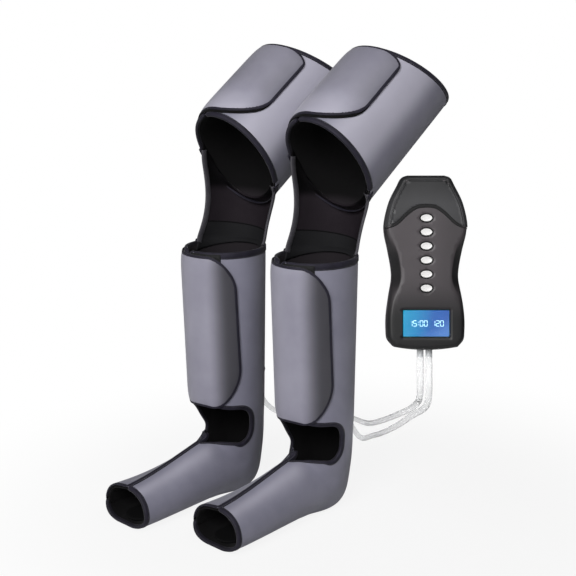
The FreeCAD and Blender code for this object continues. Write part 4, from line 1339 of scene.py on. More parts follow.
class LegWrap:
    """One leg wrap: boot, flaps, knee panel, thigh cuff and their bindings."""

    # The slit's middle and half its width, in degrees.
    slit = -14.0
    slit_half = 4.0
    # The instep flap's free edge in x, its lower edge in z, its root at the ankle in y, and the
    # height from which on the sheet belongs to the calf.
    flap_edge = 6.0
    flap_low = 28.0
    flap_back = -46.0
    joined_to = 147.0
    # The ankle opening's back in y, the height of its ledge and the radius of its corners.
    window_back = 3.0
    window_ledge = (89.0, 96.0)
    window_corner = 24.0
    # How far outside its sleeve a hook tape lies, how far a flap does, and a rim's slack.
    hook_offset = 0.65
    flap_offset = 2.7
    slack = 0.05

    def __init__(self, side: Side, shape: LegShape, wardrobe: Wardrobe, inflator: Inflator) -> None:
        """Stands the wrap at its place in the pair."""
        self.side = side
        self.shape = shape
        self.wardrobe = wardrobe
        self.inflator = inflator
        self.thigh = ThighPlan()
        self.calf_flap = CalfFlapPlan()
        self.tape = Tape()
        step = np.array([side.value * 77.0, side.value * 21.25, 0.0])
        self.place = Place(ORIGIN + step)
        knee = Place((0.0, *self.thigh.knee), self.thigh.angle - 90.0)
        self.thigh_place = self.place.after(knee)
        self.seams: dict[str, Seam] = {}

    def name(self, piece: str) -> str:
        """A piece's name with the side in front."""
        return "%s_%s" % (self.side.label, piece)

    def _sheet(self, face: str) -> list[bpy.types.Material]:
        """Materials of a lined sheet, from its face fabric."""
        return [self.wardrobe[face], self.wardrobe["lining_fabric"]]

    # ---- fields, in the leg's own frame
    @staticmethod
    def window(p: np.ndarray, soft: float = 0.001) -> np.ndarray:
        """Negative inside the ankle's opening, which dips and slants on the -X side.

        Args:
            p: points in the leg's frame.
            soft: width over which the two sides' outlines run into each other, in millimetres.

        Returns:
            Distance outside the opening's edge.
        """
        x, y, z = p.T
        low, high = LegWrap.window_ledge
        outer = np.clip(low + (-15.0 - y) * 7.0 / 43.0, low, high)
        slant = np.interp(x, [-44.0, -20.0, -4.0, 6.0], [62.0, 84.0, 100.0, 114.0])
        medial = np.where(y < -15.0, slant,
                          np.interp(y, [-15.0, LegWrap.window_back], [62.0, 84.0]))
        share = smooth((x - LegWrap.flap_edge) / soft + 0.5)
        sill = medial + (outer - medial) * share
        back = y - LegWrap.window_back + (1.0 - share) * 0.7 * np.clip(z - 92.0, 0.0, 57.5)
        top = z - CALF_BOTTOM[2] - LegWrap.lift(p)
        return np.maximum(rounded_corner(back, top, LegWrap.window_corner),
                          rounded_corner(back, sill - z, LegWrap.window_corner))

    @staticmethod
    def lift(p: np.ndarray) -> np.ndarray:
        """How far the calf's lower edge arches up at the front, in millimetres."""
        return 6.0 * np.exp(-((polar(p) - 8.0) / 34.0) ** 2)

    def slit_gap(self, p: np.ndarray) -> np.ndarray:
        """Positive inside the lengthwise slit, in millimetres."""
        return arc(p, self.slit_half - np.abs(turned_from(p, self.slit)))

    def keep_calf(self, p: np.ndarray) -> np.ndarray:
        """Negative where the calf and boot stay beside the slit, its top corners rounded."""
        cut = rounded_corner(self.slit_gap(p), p[:, 2] - (CALF_TOP[2] + self.slack), 7.0)
        return np.where(p[:, 2] > 146.0, cut, -5.0)

    @staticmethod
    def flap_zone(p: np.ndarray, grow: float = 0.0) -> np.ndarray:
        """Negative inside the instep flap, which ends below the calf, drawn in by grow."""
        x, y, z = p.T
        inside = np.maximum(x - LegWrap.flap_edge,
                            np.maximum(LegWrap.flap_low - z, y - LegWrap.flap_back))
        return np.maximum(inside + grow, z - LegWrap.joined_to)

    def _bind(self, name: str, body: str, skin: Skin, wall: Wall, place: Place,
              skip: Field | None = None, tape: Tape | None = None, widen: Field | None = None,
              finish: str = "binding_tape", sewn: bool = True,
              spread: Field | None = None) -> bpy.types.Object:
        """Folds tape over a skin's rim and notes its stitches.

        Args:
            name: the tape's name.
            body: the body it rides on; with a comma for a pair, it is put on neither.
            skin: the sheet it binds.
            wall: the sheet's wall.
            place: from the sheet's frame into the shared one.
            skip: positive where the rim carries no tape.
            tape: its sizes, where they differ.
            widen: how many times its width the tape has at a point.
            finish: its material.
            sewn: whether its stitches show.
            spread: how many times its reach beyond the rim the tape has at a point.

        Returns:
            The tape.
        """
        tape = tape or self.tape
        section = tape.section(wall)
        count = len(section)
        points: list[np.ndarray] = []
        faces: Faces = []
        cloth: list[np.ndarray] = []
        girth = run_length(section)
        for loop in skin.loops():
            p, n, w, t = tape.path(skin, loop)
            off = skip(p) > 0.0 if skip else np.zeros(len(p), bool)
            base = sum(len(block) for block in points)
            grow = widen(p)[:, None] if widen else np.ones((len(p), 1))
            reach = spread(p)[:, None] if spread else np.ones((len(p), 1))
            across = section[None, :, 0]
            depth = across * np.where(across > 0.0, grow, reach)
            block = p[:, None] + w[:, None] * depth[..., None] + n[:, None] * section[None, :, 1:]
            points.append(block.reshape(-1, 3))
            uv = np.stack(np.broadcast_arrays(girth[None, :], run_length(p)[:, None]), -1)
            cloth.append(uv.reshape(-1, 2))
            for i in range(len(p)):
                j = (i + 1) % len(p)
                here, there = base + i * count, base + j * count
                if not (off[i] or off[j]):
                    faces += band(here, there, count)
                elif not off[i]:
                    faces.append(tuple(range(here, here + count)))
                elif not off[j]:
                    faces.append(tuple(reversed(range(there, there + count))))
            row = p + w * (tape.width * grow - 1.4) + n * (wall.rim_outer + tape.proud + 0.05)
            if sewn:
                self._note_stitches(body, place, row, t, off)
        used, faces = only_used(faces)
        made = Sewing.mesh(name, place.points(np.vstack(points)[used]), faces,
                           np.vstack(cloth)[used], [self.wardrobe[finish]])
        face_outward(made)
        self._ground(made)
        if "," in body:
            return made
        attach(made, body)
        log.info("%-28s %7d faces on %s", name, len(faces), body)
        return made

    @staticmethod
    def _ground(piece: bpy.types.Object) -> None:
        """Keeps a piece on or above the floor."""
        for vertex in piece.data.vertices:
            vertex.co.z = max(vertex.co.z, 0.0002)

    def _note_stitches(self, body: str, place: Place, row: np.ndarray, tangents: np.ndarray,
                       off: np.ndarray, pitch: float = 3.7) -> None:
        """Keeps evenly spaced stitches of a row for its body."""
        step = np.linalg.norm(np.roll(row, -1, 0) - row, axis=1)
        run = np.concatenate([[0.0], np.cumsum(step)])
        where = np.arange(0.0, run[-1], pitch)
        nearest = np.clip(np.searchsorted(run, where), 0, len(row) - 1)
        share = np.clip((run[nearest] - where) / np.maximum(step[nearest - 1], 1e-9), 0.0, 1.0)
        points = row[nearest] * (1.0 - share)[:, None] + row[nearest - 1] * share[:, None]
        good = ~(off[nearest] | off[nearest - 1])
        seam = self.seams.setdefault(body, Seam())
        seam.add(place.points(points[good]), tangents[nearest][good] @ place.turn.T)

    def _swell(self, piece: bpy.types.Object, skin: Skin, out: float, into: float) -> None:
        """Inflates a shell, its rim sewn down; outer and inner faces have their own caps."""
        depth = skin.edge_distance()
        held = np.clip(1.0 - (depth - 4.0) / 6.0, 0.0, 1.0)
        cap = smooth(depth / 20.0) * MM
        self.inflator.swell(piece, np.tile(held, 2), np.concatenate([cap * out, cap * into]) + 1e-7)

    def boot(self) -> None:
        """Calf sleeve and foot as one padded sheet with its binding."""
        skin = self.shape.skin().trimmed(
            self.keep_calf, lambda p: -self.window(p), lambda p: -self.flap_zone(p))
        wall = Wall(swell=0.3)
        x, y, z = skin.points.T
        # Painted light: on the lining, lighter towards the calf's top where light falls in; on the
        # outside, a painted highlight along the foot's upper ridge.
        inside = smooth((z - 345.0) / 25.0)
        ridge_highlight = -0.3 * np.exp(-((x - 27.0) / 9.0) ** 2) * smooth((-45.0 - y) / 30.0) * (z > 30.0)
        shell = Sewing.shell(self.name("boot"), skin, wall, self.place, self._sheet("cover_fabric"),
                             0.0, np.concatenate([ridge_highlight, inside]))
        self._swell(shell, skin, 0.7, 1.5)
        dress(shell, "wraps", "cover_fabric", *[self.name(node) for node in (
            "calf_cover", "calf_chambers", "calf_liner",
            "foot_cover", "foot_chamber", "foot_liner")])
        self._bind(self.name("boot_binding"), "wraps", skin, wall, self.place,
                   skip=self._boot_bare, widen=self._boot_widen)
        self._rim_cover("calf_rim_cover", "wraps", self.place, CALF_TOP[:2],
                        lambda y: CALF_TOP[2], (126.5, 277.5))

    @staticmethod
    def _boot_bare(p: np.ndarray) -> np.ndarray:
        """Positive where the boot's rim has no tape: at the foot flap's root and the knee panel."""
        x, y, z = p.T
        hinge = (z < LegWrap.flap_low + 1.5) & (y < -47.0) & (y > -208.0) & (x < -20.0)
        turn = full_turn(p)
        joined = (z > 396.0) & (turn > 127.5) & (turn < 276.5)
        return np.where(hinge | joined, 1.0, -1.0)

    @staticmethod
    def _boot_widen(p: np.ndarray) -> np.ndarray:
        """Width of the boot's tape: wide at the calf's rim, narrow along the instep and ankle."""
        x, y, z = p.T
        rim = 1.0 + 0.45 * smooth((z - 385.0) / 10.0)
        seam = (np.abs(x - LegWrap.flap_edge) < 1.5) & (y < -50.0) & (y > -207.0) & (z > 30.0)
        ledge = smooth((x - 4.0) / 4.0) * smooth((-14.0 - y) / 14.0) \
            * smooth((104.0 - z) / 6.0) * (y > -100.0) * (z > 80.0)
        medial = smooth((-6.0 - x) / 6.0) * (y > -110.0) * (z > 58.0) * smooth((146.0 - z) / 8.0)
        return np.where(seam, 0.7, rim * (1.0 - 0.6 * np.maximum(ledge, medial)))

    def instep_flap(self) -> None:
        """Flap over the instep, and the lining that shows below it when it is open."""
        half = self.shape.form.columns // 2
        whole = self.shape.skin(half)
        skin = whole.trimmed(lambda p: self.flap_zone(p, 0.8), lambda p: -self.window(p))
        wall = Wall(outer=0.4, inner=-2.0, rim_outer=-0.1, rim_inner=-1.9, swell=0.5, fade=10.0)
        shell = Sewing.shell(self.name("instep_flap"), skin, wall, self.place,
                             self._sheet("cover_fabric"))
        body = self.name("foot_flap")
        dress(shell, body, "cover_fabric", self.name("foot_flap"))
        self._bind(self.name("instep_flap_binding"), body, skin, wall, self.place,
                   skip=lambda p: np.where((p[:, 2] < 31.0) & (p[:, 0] < -20.0), 1.0, -1.0),
                   tape=Tape(width=4.8, proud=0.7, lip=0.7))
        tongue = whole.trimmed(
            lambda p: np.maximum(np.maximum(p[:, 0] - 11.0, p[:, 2] - self.joined_to),
                                 np.maximum(22.0 - p[:, 2], p[:, 1] + 44.0)),
            lambda p: -self.window(p, 10.0) - 1.5, lambda p: -209.0 - p[:, 1])
        inner = Wall(outer=-3.1, inner=-7.0, rim_outer=-4.0, rim_inner=-6.6, fade=8.0)
        pad = Sewing.shell(self.name("instep_tongue"), tongue, inner, self.place,
                           [self.wardrobe["lining_fabric"]])
        dress(pad, "wraps", "liner_fabric")

    def insole(self) -> None:
        """Foam insole with a fabric top and a rounded edge."""
        count = 72
        t = np.linspace(0.0, FULL_TURN, count, endpoint=False)
        margin = 6.0
        half = 42.0 - WALLS[0] - WALLS[1] - WALLS[2] - margin
        heel = 4.0 + 53.0 - 12.0 - half - margin
        toe = TOE_Y + margin + half
        middle = (toe + heel) / 2.0
        x = half * np.sin(t)
        y = np.where(np.cos(t) < 0.0, heel, toe) - half * np.cos(t)
        waist = 1.0 - 0.12 * np.exp(-((y + 70.0) / 45.0) ** 2)
        rows = []
        for inset, z in ((1.6, 7.5), (0.2, 8.2), (0.0, 9.4), (0.4, 10.6), (1.8, 11.2), (6.0, 11.4),
                         (14.0, 11.2), (24.0, 10.9)):
            narrow, short = 1.0 - inset / half, 1.0 - inset / 120.0
            rows.append(np.column_stack([x * waist * narrow, (y - middle) * short + middle,
                                         np.full(count, z)]))
        points = np.vstack(rows)
        points[:, 0] *= np.where(points[:, 0] > 0.0, 0.8, 0.95)
        faces = [tuple(reversed(range(count))), *bands(len(rows), count),
                 tuple(range((len(rows) - 1) * count, len(rows) * count))]
        made = Sewing.mesh(self.name("insole_pad"), self.place.points(points), faces, points[:, :2],
                           [self.wardrobe["insole_fabric"]])
        face_outward(made)
        dress(made, "wraps", "insole_foam", self.name("insole"))

    def calf_panel(self) -> None:
        """Lighter flap over the calf's slit, its binding and the hook tape below it."""
        plan = self.calf_flap
        size = self.shape.form.calf_size
        low, high = CALF_BOTTOM[2], CALF_TOP[2] - plan.drop
        skin = self._oval_skin(np.linspace(low, high, 74), (plan.root, plan.free + 10.0, 50), size,
                               self.flap_offset)
        middle = (plan.root + plan.free) / 2.0
        free = (CALF_TOP[0] + 1.3) * math.sin(math.radians(plan.free - middle)) + 0.6
        skin = skin.trimmed(
            lambda p: oval_corner(turned_across(p, middle) - free, p[:, 2] - high - self.slack,
                                  plan.upper),
            lambda p: oval_corner(turned_across(p, middle) - free,
                                  low - self.slack + self.lift(p) - p[:, 2], plan.lower))
        # Painted shade: dark along the free edge, where the flap turns away from the light, and a
        # slight painted highlight towards its root.
        depth = free - turned_across(skin.points, middle)
        shade = smooth((33.0 - depth) / 26.0) + 0.16 * smooth((75.0 - depth) / 40.0) - 0.1
        self._flap("calf_flap", skin, self.place, plan.root, shade)
        hook = self._oval_skin(np.linspace(175.0, 399.5, 46), (-4.0, 41.0, 16), size,
                               self.hook_offset)
        self._hook_tape("calf_hook_patch", hook, self.place, "wraps")

    @staticmethod
    def _oval_skin(zs: np.ndarray, span: tuple[float, float, int], size: Callable,
                   offset: float) -> Skin:
        """Skin on an oval sleeve.

        Args:
            zs: its rows' heights.
            span: the angles it runs between, in degrees, and the number of columns.
            size: half-width, half-depth and centre y of the sleeve at a height.
            offset: how far outside the sleeve it lies.

        Returns:
            The skin.
        """
        angles = np.radians(np.linspace(*span))
        rows = []
        for z in zs:
            a, b, y = (float(v) for v in size(z))
            r = ray_radius(a + offset, b + offset, y, angles)
            rows.append(oval(angles, r, r, 0.0, z))
        points = np.array(rows)
        along = np.repeat(np.asarray(zs)[:, None], len(angles), axis=1)
        return Skin.grid(points, np.stack([row_length(points), along], -1))

    def _flap(self, piece: str, skin: Skin, place: Place, root: float, shade: np.ndarray) -> Skin:
        """Builds a flap's padded sheet and binding; its root edge is sewn down.

        Args:
            piece: its node's name without the side.
            skin: its middle surface.
            place: from the skin's frame into the shared one.
            root: angle of the sewn edge, in degrees.
            shade: painted shade at each point of the skin; below 0 a painted highlight.

        Returns:
            The skin with its root edge drawn in.
        """
        wall = Wall(outer=1.4, inner=-1.1, rim_outer=0.8, rim_inner=-0.8, swell=2.6, fade=20.0)
        reach = arc(skin.points, turned_from(skin.points, root))
        skin = skin.raised(-1.4 * (1.0 - smooth(reach / 7.0)))
        shell = Sewing.shell(self.name(piece + "_panel"), skin, wall, place,
                             self._sheet("flap_fabric"), shade=shade)
        self._swell(shell, skin, 1.0, 0.3)
        body = self.name(piece)
        dress(shell, body, "flap_fabric", self.name(piece))
        self._bind(self.name(piece + "_binding"), body, skin, wall, place,
                   skip=lambda p: 3.2 - turned_from(p, root),
                   tape=Tape(width=7.5, proud=0.85, lip=1.5))
        return skin

    def _hook_tape(self, node: str, skin: Skin, place: Place, body: str) -> None:
        """A strip of hook tape that stands for its node."""
        wall = Wall(outer=0.35, inner=-0.45, rim_outer=0.1, rim_inner=-0.4, fade=3.0)
        made = Sewing.shell(self.name(node.replace("patch", "tape")), skin, wall, place,
                            [self.wardrobe["hook_tape"]])
        dress(made, body, "hook_tape", self.name(node))

    def thigh_cuff(self) -> None:
        """Thigh sleeve, its binding, flap and hook tape."""
        plan = self.thigh
        first, last = self.slit + self.slit_half, self.slit - self.slit_half + 360.0
        turn = np.radians(np.linspace(first, last, 150))
        r = ray_radius(plan.half_w, plan.half_d, 0.0, turn)
        x, y = r * np.sin(turn), -r * np.cos(turn)
        share = np.linspace(0.0, 1.0, 70)[:, None]
        z = plan.low(y)[None] * (1.0 - share) + plan.high(y)[None] * share
        points = np.stack([np.broadcast_to(x, z.shape), np.broadcast_to(y, z.shape), z], -1)
        across = np.concatenate([[0.0], np.cumsum(np.hypot(np.diff(x), np.diff(y)))])
        skin = Skin.grid(points, np.stack([np.broadcast_to(across, z.shape), z], -1))
        wall = Wall(swell=0.3)
        # Painted sheen: a lighter satin band along the cuff's outside, round 58 degrees.
        turned = np.abs(polar(skin.points) - 58.0)
        painted_sheen = -0.5 * (1.0 - smooth((turned - 14.0) / 30.0))
        # Painted light on the cuff's lining near its knee end, where light falls in.
        leg = self.thigh_place.points(skin.points) - self.place.base
        inside = smooth((84.0 - knee_level(leg)) / 14.0)
        shell = Sewing.shell(self.name("thigh_cuff"), skin, wall, self.thigh_place,
                             self._sheet("cover_fabric"), shade=np.concatenate([painted_sheen, inside]))
        self._swell(shell, skin, 0.7, 1.5)
        body = self.name("thigh")
        dress(shell, body, "cover_fabric", *[self.name(node) for node in (
            "thigh_cover", "thigh_chambers", "thigh_liner")])

        def bare(p: np.ndarray) -> np.ndarray:
            """Positive where the knee panel is sewn in."""
            turn = full_turn(p)
            joined = (p[:, 2] < plan.low(p[:, 1]) + 4.0) & (turn > 123.5) & (turn < 278.5)
            return np.where(joined, 1.0, -1.0)
        self._bind(self.name("thigh_cuff_binding"), body, skin, wall, self.thigh_place,
                   skip=bare, widen=lambda p: np.full(len(p), 1.1))
        self._rim_cover("thigh_rim_cover", body, self.thigh_place, (plan.half_w, plan.half_d),
                        plan.low, (122.5, 279.5), -1.0)
        self._thigh_flap(plan)

    def _rim_cover(self, piece: str, body: str, place: Place, size: tuple[float, float],
                   height: Callable, span: tuple[float, float], up: float = 1.0) -> None:
        """Flat tape outside a sleeve's rim, where the knee panel is sewn in.

        Args:
            piece: its name without the side.
            body: the body it rides on.
            place: from the sleeve's frame into the shared one.
            size: half-width and half-depth of the rim.
            height: the rim's height at a depth.
            span: the angles it runs between, in degrees.
            up: 1 where the panel lies above the rim and -1 where it lies below.
        """
        t = np.radians(np.linspace(span[0], span[1], 64))
        points = oval(t, *size)
        points[:, 2] = height(points[:, 1])
        outward = oval(t, 1.0, 1.0)
        section = np.array([(-7.0, 0.0), (-7.0, 0.6), (-6.3, 0.85), (0.3, 0.8), (4.2, -0.7),
                            (4.6, -1.2), (4.0, -1.9), (0.0, -0.4)])
        rise = np.array([0.0, 0.0, up])
        block = points[:, None] + rise * section[None, :, :1]
        block = block + outward[:, None] * section[None, :, 1:]
        count = len(section)
        faces = [tuple(range(count)), tuple(range((len(t) - 1) * count, len(t) * count)),
                 *bands(len(t), count)]
        cloth = np.stack(np.broadcast_arrays(section[None, :, 0] + 7.0,
                                             run_length(points)[:, None]), -1)
        made = Sewing.mesh(self.name(piece), place.points(block.reshape(-1, 3)), faces,
                           cloth.reshape(-1, 2), [self.wardrobe["binding_tape"]])
        face_outward(made)
        dress(made, body, "flap_fabric")

    def _thigh_flap(self, plan: ThighPlan) -> None:
        """The thigh's flap and hook tape."""
        offset = self.flap_offset

        def size(_: float) -> tuple[float, float, float]:
            """The cuff's size, the same at every height."""
            return plan.half_w, plan.half_d, 0.0
        skin = self._oval_skin(np.linspace(plan.flap_start, plan.end, 66),
                               (plan.flap_root, plan.flap_free + 2.0, 44), size, offset)
        middle = (plan.flap_root + plan.flap_free) / 2.0
        reach = float(ray_radius(plan.half_w, plan.half_d, 0.0, np.radians(plan.flap_free)))
        free = (reach + offset) * math.sin(math.radians(plan.flap_free - middle))
        skin = skin.trimmed(
            lambda p: oval_corner(turned_across(p, middle) - free,
                                  plan.flap_start - self.slack - p[:, 2], plan.flap_lower),
            lambda p: oval_corner(turned_across(p, middle) - free,
                                  p[:, 2] - plan.high(p[:, 1]) + plan.flap_drop, plan.flap_upper))
        # Painted light: a plain painted shade over the flap, deeper near its free edge, and painted
        # light towards its lower end.
        shade = 0.24 + 0.25 * smooth((26.0 - (free - turned_across(skin.points, middle))) / 22.0)
        shade -= 0.5 * smooth((135.0 - skin.points[:, 2]) / 70.0)
        skin = self._flap("thigh_flap", skin, self.thigh_place, plan.flap_root, shade)

        def bare(p: np.ndarray) -> np.ndarray:
            """Positive where the flap's rim has no shadow facing: above and at its root."""
            shown = (p[:, 2] < plan.flap_start + 70.0) & (polar(p) > plan.flap_root + 9.0)
            return np.where(shown, -1.0, 1.0)
        # Black strip under the flap's lower and free edges, reaching past them: the flap's dark
        # underside and a painted shadow of the gap below it.
        self._bind(self.name("thigh_flap_facing"), self.name("thigh_flap"), skin,
                   Wall(rim_outer=-0.9, rim_inner=-1.3), self.thigh_place, skip=bare,
                   tape=Tape(width=2.0, proud=0.1, lip=5.2), finish="lining_fabric", sewn=False,
                   spread=lambda p: 0.25 + 0.75 * smooth((plan.flap_start + 68.0 - p[:, 2]) / 40.0)
                   * smooth((polar(p) - plan.flap_root - 8.0) / 14.0))
        hook = self._oval_skin(np.linspace(84.0, plan.end, 40), (6.0, 32.0, 14), size,
                               self.hook_offset)
        hook = hook.trimmed(lambda p: p[:, 2] - plan.high(p[:, 1]) + 26.0)
        self._hook_tape("thigh_hook_patch", hook, self.thigh_place, self.name("thigh"))

    def knee(self) -> None:
        """Elastic panel behind the knee and its bound edges."""
        heights = np.linspace(-0.09, 1.12, 64)
        points = np.array([self._knee_ring(v) for v in heights])
        rise = np.linalg.norm(np.diff(points, axis=0), axis=2).mean(axis=1)
        along = np.concatenate([[0.0], np.cumsum(rise)])
        along = np.repeat(along[:, None], points.shape[1], axis=1)
        skin = Skin.grid(points, np.stack([row_length(points), along], -1))
        wall = Wall(outer=1.4, inner=-1.8, rim_outer=0.9, rim_inner=-1.6, fade=10.0)
        # The shade attribute holds the height, by which the lining paints its lit band and its
        # shade.
        shell = Sewing.shell(self.name("knee_elastic"), skin, wall, self.place,
                             [self.wardrobe["knee_elastic"], self.wardrobe["knee_lining"]],
                             shade=knee_level(skin.points) / 100.0)
        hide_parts(self.name("knee_panel"))
        tree = nearest_tree(np.vstack([ring for ring, v in zip(points, heights)
                                       if not 0.0 < v < 1.0]))
        pair = "wraps," + self.name("thigh")
        tape = self._bind(self.name("knee_binding"), pair, skin, wall, self.place,
                          skip=lambda p: np.array([2.0 - tree.find(q)[2] for q in p]),
                          tape=Tape(width=7.0, proud=1.0, lip=2.2), finish="knee_tape")
        heading = np.array([0.0, 0.3, 0.954])
        first = np.array([0.0, 40.0, 410.0])
        start = self.place.points(first[None])[0]
        end = start + heading * 58.0
        for piece in (shell, tape):
            self.name("thigh")
            tuple(start * MM)
            tuple(end * MM)
            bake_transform(piece)
            log.info("%-28s %7d faces bend at the knee", piece.name, len(piece.data.polygons))

    def _knee_ring(self, v: float) -> np.ndarray:
        """Open ring of the knee panel, from 0 at the calf's rim to 1 at the cuff's."""
        plan = self.thigh
        lower = Place((0.0, 0.0, CALF_TOP[2]))
        rim = Place((0.0, 0.0, plan.start), -plan.rim_tilt)
        upper = Place((0.0, *plan.knee), plan.angle - 90.0).after(rim)
        # Half-width, half-depth and where the two edges lie: at the calf, the knee and the cuff.
        levels = ((*CALF_TOP[:2], 126.0, 82.0), (62.75, 72.55, 132.0, 94.0),
                  (plan.half_w, plan.half_d, 122.0, 80.0))
        w = np.array([(1 - v) * (1 - 2 * v), 4 * v * (1 - v), v * (2 * v - 1)])
        a, b, right, left = (float(w @ [level[k] for level in levels]) for k in range(4))
        lean = plan.angle - 90.0 - plan.rim_tilt
        base = lower.base * (1 - v) + upper.base * v
        bend = Place(base, lean * (v + 0.12 * math.sin(FULL_TURN * v)))
        turn = np.radians(np.linspace(right, 360.0 - left, 72))
        lap = 3.4 * float(smooth((v - 0.88) / 0.18) + smooth((0.07 - v) / 0.13))
        inset = 3.2
        return bend.points(oval(turn, a - inset - lap, b - inset - lap))

    def build(self, machine: StitchMachine) -> None:
        """Builds every piece of the wrap, then its stitches."""
        self.boot()
        self.instep_flap()
        self.insole()
        self.calf_panel()
        self.thigh_cuff()
        self.knee()
        for body, seam in self.seams.items():
            if "," in body:
                continue
            label = self.name("boot") if body == "wraps" else body
            stitches = machine.sew(label + "_stitches", seam)
            dress(stitches, body, "flap_fabric")


# ---- hoses -----------------------------------------------------------------------------------
@dataclass
class Hose:
    """One air hose from the handset's nozzle to a wrap's elbow."""

    side: Side
    route: tuple[tuple[float, float, float], ...]
    length: float
    diameter: float = 0.008

    def build(self, material: bpy.types.Material) -> bpy.types.Object:
        """Lays the hose as a smooth curve on the route's points."""
        shift = ORIGIN * MM
        points = [tuple(np.array(p) * MM + shift) for p in self.route]
        name = self.side.label + "_air_hose"
        curve = bpy.data.curves.new(name, "CURVE")
        curve.dimensions = "3D"
        curve.resolution_u = 10
        curve.bevel_depth = self.diameter / 2.0
        curve.bevel_resolution = 5
        curve.use_fill_caps = True
        spline = curve.splines.new("NURBS")
        spline.points.add(len(points) - 1)
        for knot, point in zip(spline.points, points):
            knot.co = (*point, 1.0)
        spline.order_u = 3
        spline.use_endpoint_u = True
        curve.materials.append(material)
        made = add_object(name, curve)
        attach(made, "pump_set")
        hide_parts(self.side.label + "_hose")
        self.side.label + "_hose_elbow"
        log.info("%-28s hose of %.2f m", name, self.length)
        return made


# ---- handset ---------------------------------------------------------------------------------
def between(first: np.ndarray, second: np.ndarray, low: float, high: float,
            at: float) -> np.ndarray:
    """The point at a parameter on the way from first, at low, to second, at high."""
    return first * (high - at) / (high - low) + second * (at - low) / (high - low)


def through(points: Sequence[tuple[float, float]], per_span: int = 8) -> np.ndarray:
    """Smooth line through points, per_span steps from each to the next."""
    knots = np.array(points, float)
    knots = np.vstack([2.0 * knots[0] - knots[1], knots, 2.0 * knots[-1] - knots[-2]])
    line = []
    for i in range(1, len(knots) - 2):
        p = knots[i - 1:i + 3]
        t = np.concatenate([[0.0], np.cumsum(np.linalg.norm(np.diff(p, axis=0), axis=1) ** 0.5)])
        for u in np.linspace(t[1], t[2], per_span, endpoint=False):
            a = [between(p[k], p[k + 1], t[k], t[k + 1], u) for k in range(3)]
            b = [between(a[k], a[k + 1], t[k], t[k + 2], u) for k in range(2)]
            line.append(between(b[0], b[1], t[1], t[2], u))
    line.append(knots[-2])
    return np.array(line)


def oval_loop(a: float, b: float, x: float = 0.0, z: float = 0.0, count: int = 40) -> np.ndarray:
    """Closed oval in the face's plane."""
    t = np.linspace(0.0, FULL_TURN, count, endpoint=False)
    return np.column_stack([x + a * np.cos(t), z + b * np.sin(t)])


def box_loop(w: float, h: float, z: float, radius: float, per_corner: int = 6) -> np.ndarray:
    """Closed rounded rectangle in the face's plane."""
    loop = []
    for k, (sx, sz) in enumerate(((1, 1), (-1, 1), (-1, -1), (1, -1))):
        for t in np.linspace(0.0, math.pi / 2.0, per_corner) + k * math.pi / 2.0:
            loop.append((sx * (w / 2.0 - radius) + radius * math.cos(t),
                         z + sz * (h / 2.0 - radius) + radius * math.sin(t)))
    return np.array(loop)


